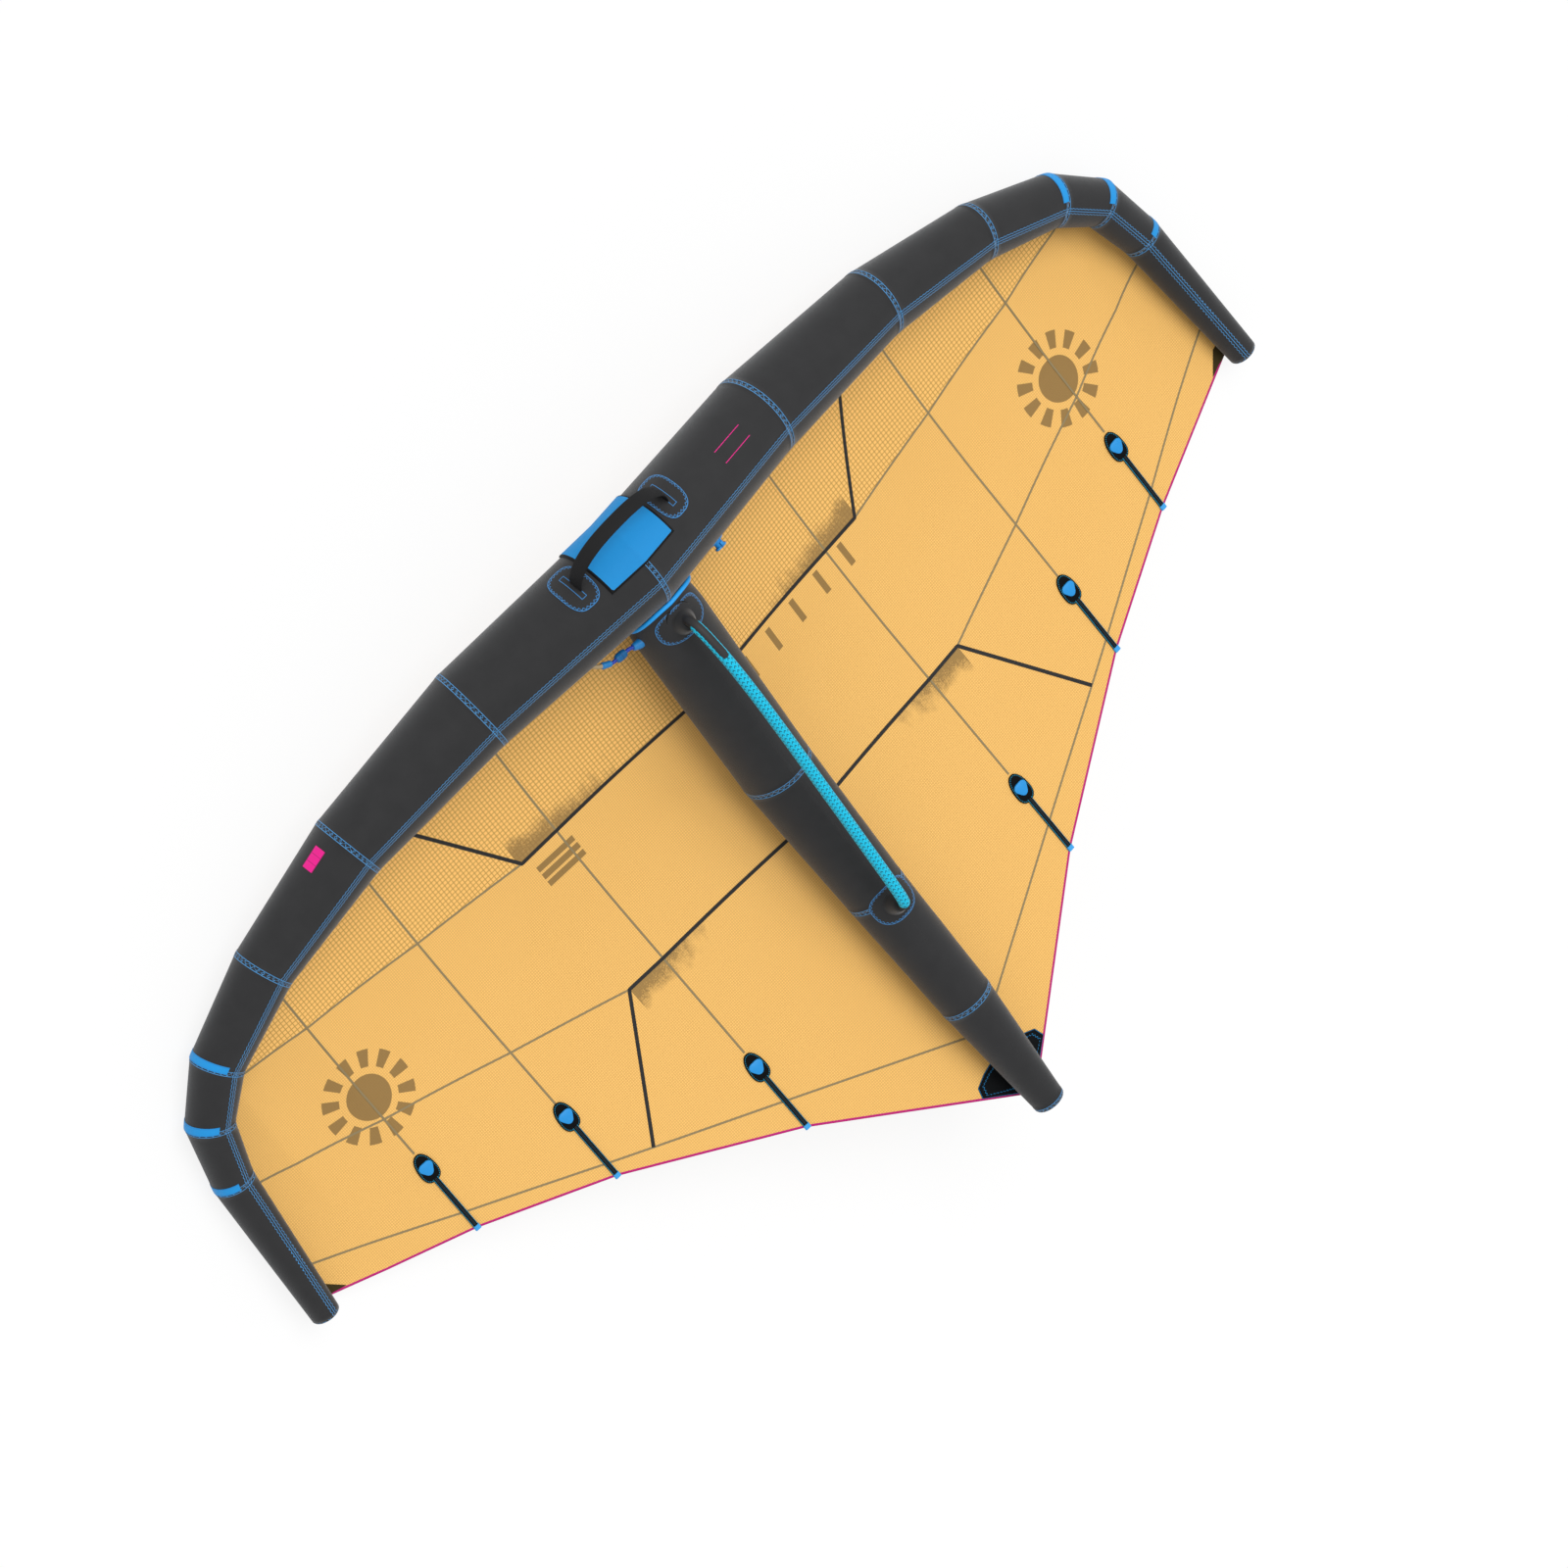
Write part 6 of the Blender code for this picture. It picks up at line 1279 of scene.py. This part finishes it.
# Two lobes on the lid give the fingers a hold, clear of the hinge. They are set out from the solid model's own
# casing, which lies a little under the cloth here.
proud = PROUD_SHARE * SOLID_RADIUS * (1 - abs(VALVE_X) / EDGE.centres[1, 0])
valve_foot = edge_surface(np.array(VALVE_X), VALVE_ANGLE, -proud)
valve_out = unit(edge_surface(np.array(VALVE_X), VALVE_ANGLE, 1.0) - valve_foot)
valve_side = unit(edge_surface(np.array(VALVE_X + 0.01), VALVE_ANGLE, 0.0) - edge_surface(
    np.array(VALVE_X - 0.01), VALVE_ANGLE, 0.0))
valve_side = unit(valve_side - valve_out * (valve_side @ valve_out))
valve_up = np.cross(valve_out, valve_side)
rim_lobe = np.array((0.0, 0.0, 0.0029, 0.0041, 0.0044, 0.0042, 0.0))[:, None]
rim_rise = np.array((0.0214, 0.0262, 0.0262, 0.0254, 0.0234, 0.0214, 0.0214))[:, None]
swing = np.linspace(0.0, 2 * math.pi, 97)[None, :]
rim_reach = 0.0121 + rim_lobe * np.clip((np.abs(np.cos(swing)) - 0.55) / 0.40, 0.0, 1.0)
axes = (valve_foot, valve_side, valve_up, valve_out)
rim = set_out(axes, rim_reach * np.cos(swing), rim_reach * np.sin(swing), rim_rise)
make_piece("valve_lid_rim", [(rim, {"piping": pair(swing, rim_rise)}, valve_foot + valve_out * 0.0238)],
           VALVE_PLASTIC, body="valve_lid")

# The hose: a flared cuff at the strut, a thin tube that the clip can squeeze, and a cuff and film sleeve at the
# leading edge. The radius is read off between marks along the span.
HOSE_ROUTE = np.array(((0.080, -0.0150, 0.0195), (0.100, -0.0165, 0.0203), (0.114, -0.0215, 0.0213),
                       (0.126, -0.0278, 0.0223), (0.154, -0.0320, 0.02475), (0.182, -0.0362, 0.0272),
                       (0.190, -0.0420, 0.0287), (0.202, -0.0495, 0.0315), (0.216, -0.0600, 0.0340),
                       (0.228, -0.0730, 0.0355), (0.237, -0.0880, 0.0360)))
HOSE_MARKS = (0.080, 0.096, 0.108, 0.1165, 0.1175, 0.1855, 0.1865, 0.2080, 0.2090, 0.2400)
HOSE_RADII = (0.0130, 0.0130, 0.0110, 0.0088, 0.0048, 0.0048, 0.0080, 0.0086, 0.0058, 0.0058)
hose_path, hose_way = smoothed(HOSE_ROUTE, 0.0008)
tube_ends = np.interp((0.1170, 0.1860, 0.2085), hose_path[:, 0], hose_way)
MARBLE = 0.0009
# Hose polyurethane: shiny and cloudy blue with fine rings, deeper where the wall is thin; its far end is seen
# through a film sleeve and is sand-coloured.
HOSE_TUBE, shader = new_finish("blue_hose_polyurethane", "#1E80C4", 0.35)
around, along = uv(HOSE_TUBE, "piping")
own_place = node(HOSE_TUBE, "TexCoord").node.outputs["Object"]
marbled = node(HOSE_TUBE, "TexNoise", {"Vector": own_place, "Scale": 1 / MARBLE, "Detail": 3.0})
tint(HOSE_TUBE, shader, node(HOSE_TUBE, "MULTIPLY", marbled, 0.5), "#176CA9")
tint(HOSE_TUBE, shader, node(HOSE_TUBE, "COMPARE", along, float(tube_ends[:2].mean()),
                             float(tube_ends[1] - tube_ends[0]) / 2), "#1F3FA8")
tint(HOSE_TUBE, shader, node(HOSE_TUBE, "GREATER_THAN", along, float(tube_ends[2])), "#A8926C")
emboss(HOSE_TUBE, shader, ripple(HOSE_TUBE, along, 0.0030), 0.0002)
hose = closed_rod(hose_path, np.interp(hose_path[:, 0], HOSE_MARKS, HOSE_RADII), 24, (0.0, 0.0, 1.0), "piping")
make_piece("bladder_hose", [hose], HOSE_TUBE, "transfer_hose")

# The clip is an oval bead with a bore: a closed outline in distance along the hose and from its axis, turned
# round the hose. It is a little wider than it is high.
CLIP_HALF, CLIP_BORE = 0.0160, 0.0052
# Clip acetal: a darker, shinier blue than the valve, with fine grip ribs and a dark line round its middle.
CLIP_BLUE, shader = new_finish("dark_blue_acetal_clip", "#12649F", 0.32)
around, along = uv(CLIP_BLUE, "piping")
emboss(CLIP_BLUE, shader, ripple(CLIP_BLUE, along, 0.0022), 0.0003)
tint(CLIP_BLUE, shader, node(CLIP_BLUE, "COMPARE", along, 0.0, 0.0012), "#0E5285")
middle = (HOSE_ROUTE[3] + HOSE_ROUTE[5]) / 2
axis = unit(HOSE_ROUTE[5] - HOSE_ROUTE[3])
upward = unit(np.array((0.0, 0.0, 1.0)) - axis * axis[2])
sideways = np.cross(upward, axis)
swing = np.linspace(0.0, math.pi, 25)
bead_along = np.concatenate([-CLIP_HALF * np.cos(swing), [CLIP_HALF, 0.0, -CLIP_HALF, -CLIP_HALF]])[:, None]
bead_reach = np.concatenate([0.0056 + 0.0052 * np.sin(swing) ** 0.7, [CLIP_BORE, CLIP_BORE, CLIP_BORE, 0.0056]])
bead_reach = bead_reach[:, None]
turn = np.linspace(0.0, 2 * math.pi, 41)[None, :]
wide = 1 + 0.12 * (bead_reach > 0.0053)
axes = (middle, upward, sideways, axis)
bead = set_out(axes, bead_reach * np.cos(turn), bead_reach * wide * np.sin(turn), bead_along)
make_piece("hose_squeeze_clip", [(bead, {"piping": pair(turn * 0.009, bead_along)}, middle)], CLIP_BLUE,
           "hose_clip", body="clip")


# ---------------------------------------------------------------------------------------------------------
# Air bladders: thin clear film tubes inside the leading edge and the strut. They press against the casings,
# and nothing of them shows while the wing is closed.

FILM_GAP, CREASE = 0.0022, 0.030
# Bladder film: thin and milky, with soft creases; it reads as a slack plastic bag when the wing is opened.
FILM, shader = new_finish("milky_polyurethane_film", "#D7DADC", 0.3)
own_place = node(FILM, "TexCoord").node.outputs["Object"]
creases = node(FILM, "TexNoise", {"Vector": own_place, "Scale": 1 / CREASE, "Detail": 5.0})
emboss(FILM, shader, creases, 0.001)
tint(FILM, shader, creases, "#C9CED2")


def bladder_patch(tube, first, last, ends):
    """Tube inside a casing, a small gap from it, with a flat closed end at each named end."""
    place = np.linspace(first, last, int((last - first) * 12) + 1)[:, None]
    angle = np.linspace(0.0, 2 * math.pi, 65)[None, :]
    points = tube.point(place, angle, -FILM_GAP)
    if "last" in ends:
        points[-1] -= tube.normals[-1] * FILM_GAP
        points = np.concatenate([points, np.repeat(points[-1].mean(axis=0)[None, None], 65, axis=1)])
    if "first" in ends:
        points = np.concatenate([np.repeat(points[0].mean(axis=0)[None, None], 65, axis=1), points])
    return points, {"film": pair(points[..., 0], points[..., 1])}, None


half = bladder_patch(EDGE, 0.0, 7.0, ("last",))
make_piece("edge_air_bladder", [half, on_right(half)], FILM, "le_bladder")
make_piece("strut_air_bladder", [bladder_patch(STRUT, 0.75, 5.0, ("first", "last"))], FILM,
           "strut_bladder")


# ---------------------------------------------------------------------------------------------------------
# Studio: a white floor and a white surround, one soft sun and an even sky, and the camera of the photograph.
# The photograph looks from the wing's front left side, from above the rider's side.

FLOOR_HALF, FLOOR_LEVEL = 30.0, -0.001
GLOW_SHARE = 0.85            # how much of the paper's look is its own even white, for the rays that see it
SKY_LIGHT = 0.68             # the sky's strength as a light; as a background it is plain white
SUN_STRENGTH, SUN_WIDTH, SUN_TURNS = 1.80, 40.0, (29.0, -15.0, 0.0)
FOCAL_PIXELS, PICTURE_PIXELS, SENSOR_WIDTH = 11041.0, 1600.0, 36.0
# White paper: it takes the wing's soft shadow and fades into the white background, so that no edge shows.
white, white_shader = new_finish("white_studio_paper", "#F4F4F4", 0.8)
rays = node(white, "LightPath").node.outputs
seen = node(white, "MAXIMUM", rays["Is Camera Ray"],
            node(white, "MAXIMUM", rays["Is Glossy Ray"], rays["Is Transmission Ray"]))
glow = node(white, "Emission", {"Strength": 1.0})
blend = node(white, "MixShader", node(white, "MULTIPLY", seen, GLOW_SHARE), white_shader.outputs[0], glow)
white.node_tree.links.new(blend, white.node_tree.nodes["Material Output"].inputs["Surface"])
floor_mesh = bpy.data.meshes.new("studio_floor")
floor_corners = [(x * FLOOR_HALF, y * FLOOR_HALF, FLOOR_LEVEL) for x, y in ((-1, -1), (1, -1), (1, 1), (-1, 1))]
floor_mesh.from_pydata(floor_corners, [], [(0, 1, 2, 3)])
floor_mesh.materials.append(white)
floor = bpy.data.objects.new("studio_floor", floor_mesh)
bpy.context.scene.collection.objects.link(floor)

world = bpy.data.worlds.new("studio_sky")
world.use_nodes = True
bpy.context.scene.world = world
sky = world.node_tree.nodes["Background"]
sky.inputs["Color"].default_value = (1.0, 1.0, 1.0, 1.0)
rays = node(world, "LightPath").node.outputs
seen = node(world, "MAXIMUM", rays["Is Camera Ray"], rays["Is Transmission Ray"])
strength = node(world, "MULTIPLY_ADD", seen, 1.0 - SKY_LIGHT, SKY_LIGHT)
world.node_tree.links.new(strength, sky.inputs["Strength"])

sun = bpy.data.lights.new("studio_sun", "SUN")
sun.energy = SUN_STRENGTH
sun.angle = math.radians(SUN_WIDTH)
lamp = bpy.data.objects.new("studio_sun", sun)
bpy.context.scene.collection.objects.link(lamp)
lamp.rotation_euler = [math.radians(turn) for turn in SUN_TURNS]

# The camera's axes in the wing's own frame, as rows: to its right, up, and back towards it. The two turns of
# their singular values make them exactly square to each other.
VIEW = np.array(((-0.6700, 0.5464, 0.5025), (-0.7012, -0.6881, -0.1867), (0.2438, -0.4774, 0.8442)))
EYE = np.array((0.27663, -0.39223, 25.58))
left_turn, _, right_turn = np.linalg.svd(VIEW)
VIEW = left_turn @ right_turn
camera_data = bpy.data.cameras.new("photo_camera")
camera_data.sensor_width = SENSOR_WIDTH
camera_data.lens = SENSOR_WIDTH * FOCAL_PIXELS / PICTURE_PIXELS
camera_data.clip_end = 200.0
camera = bpy.data.objects.new("photo_camera", camera_data)
bpy.context.scene.collection.objects.link(camera)
bpy.context.scene.camera = camera
turned = TURN @ VIEW.T
place = at_rest(VIEW.T @ EYE)
camera.matrix_world = Matrix([[*turned[row], place[row]] for row in range(3)] + [[0.0, 0.0, 0.0, 1.0]])
bpy.context.scene.view_settings.view_transform = "Standard"
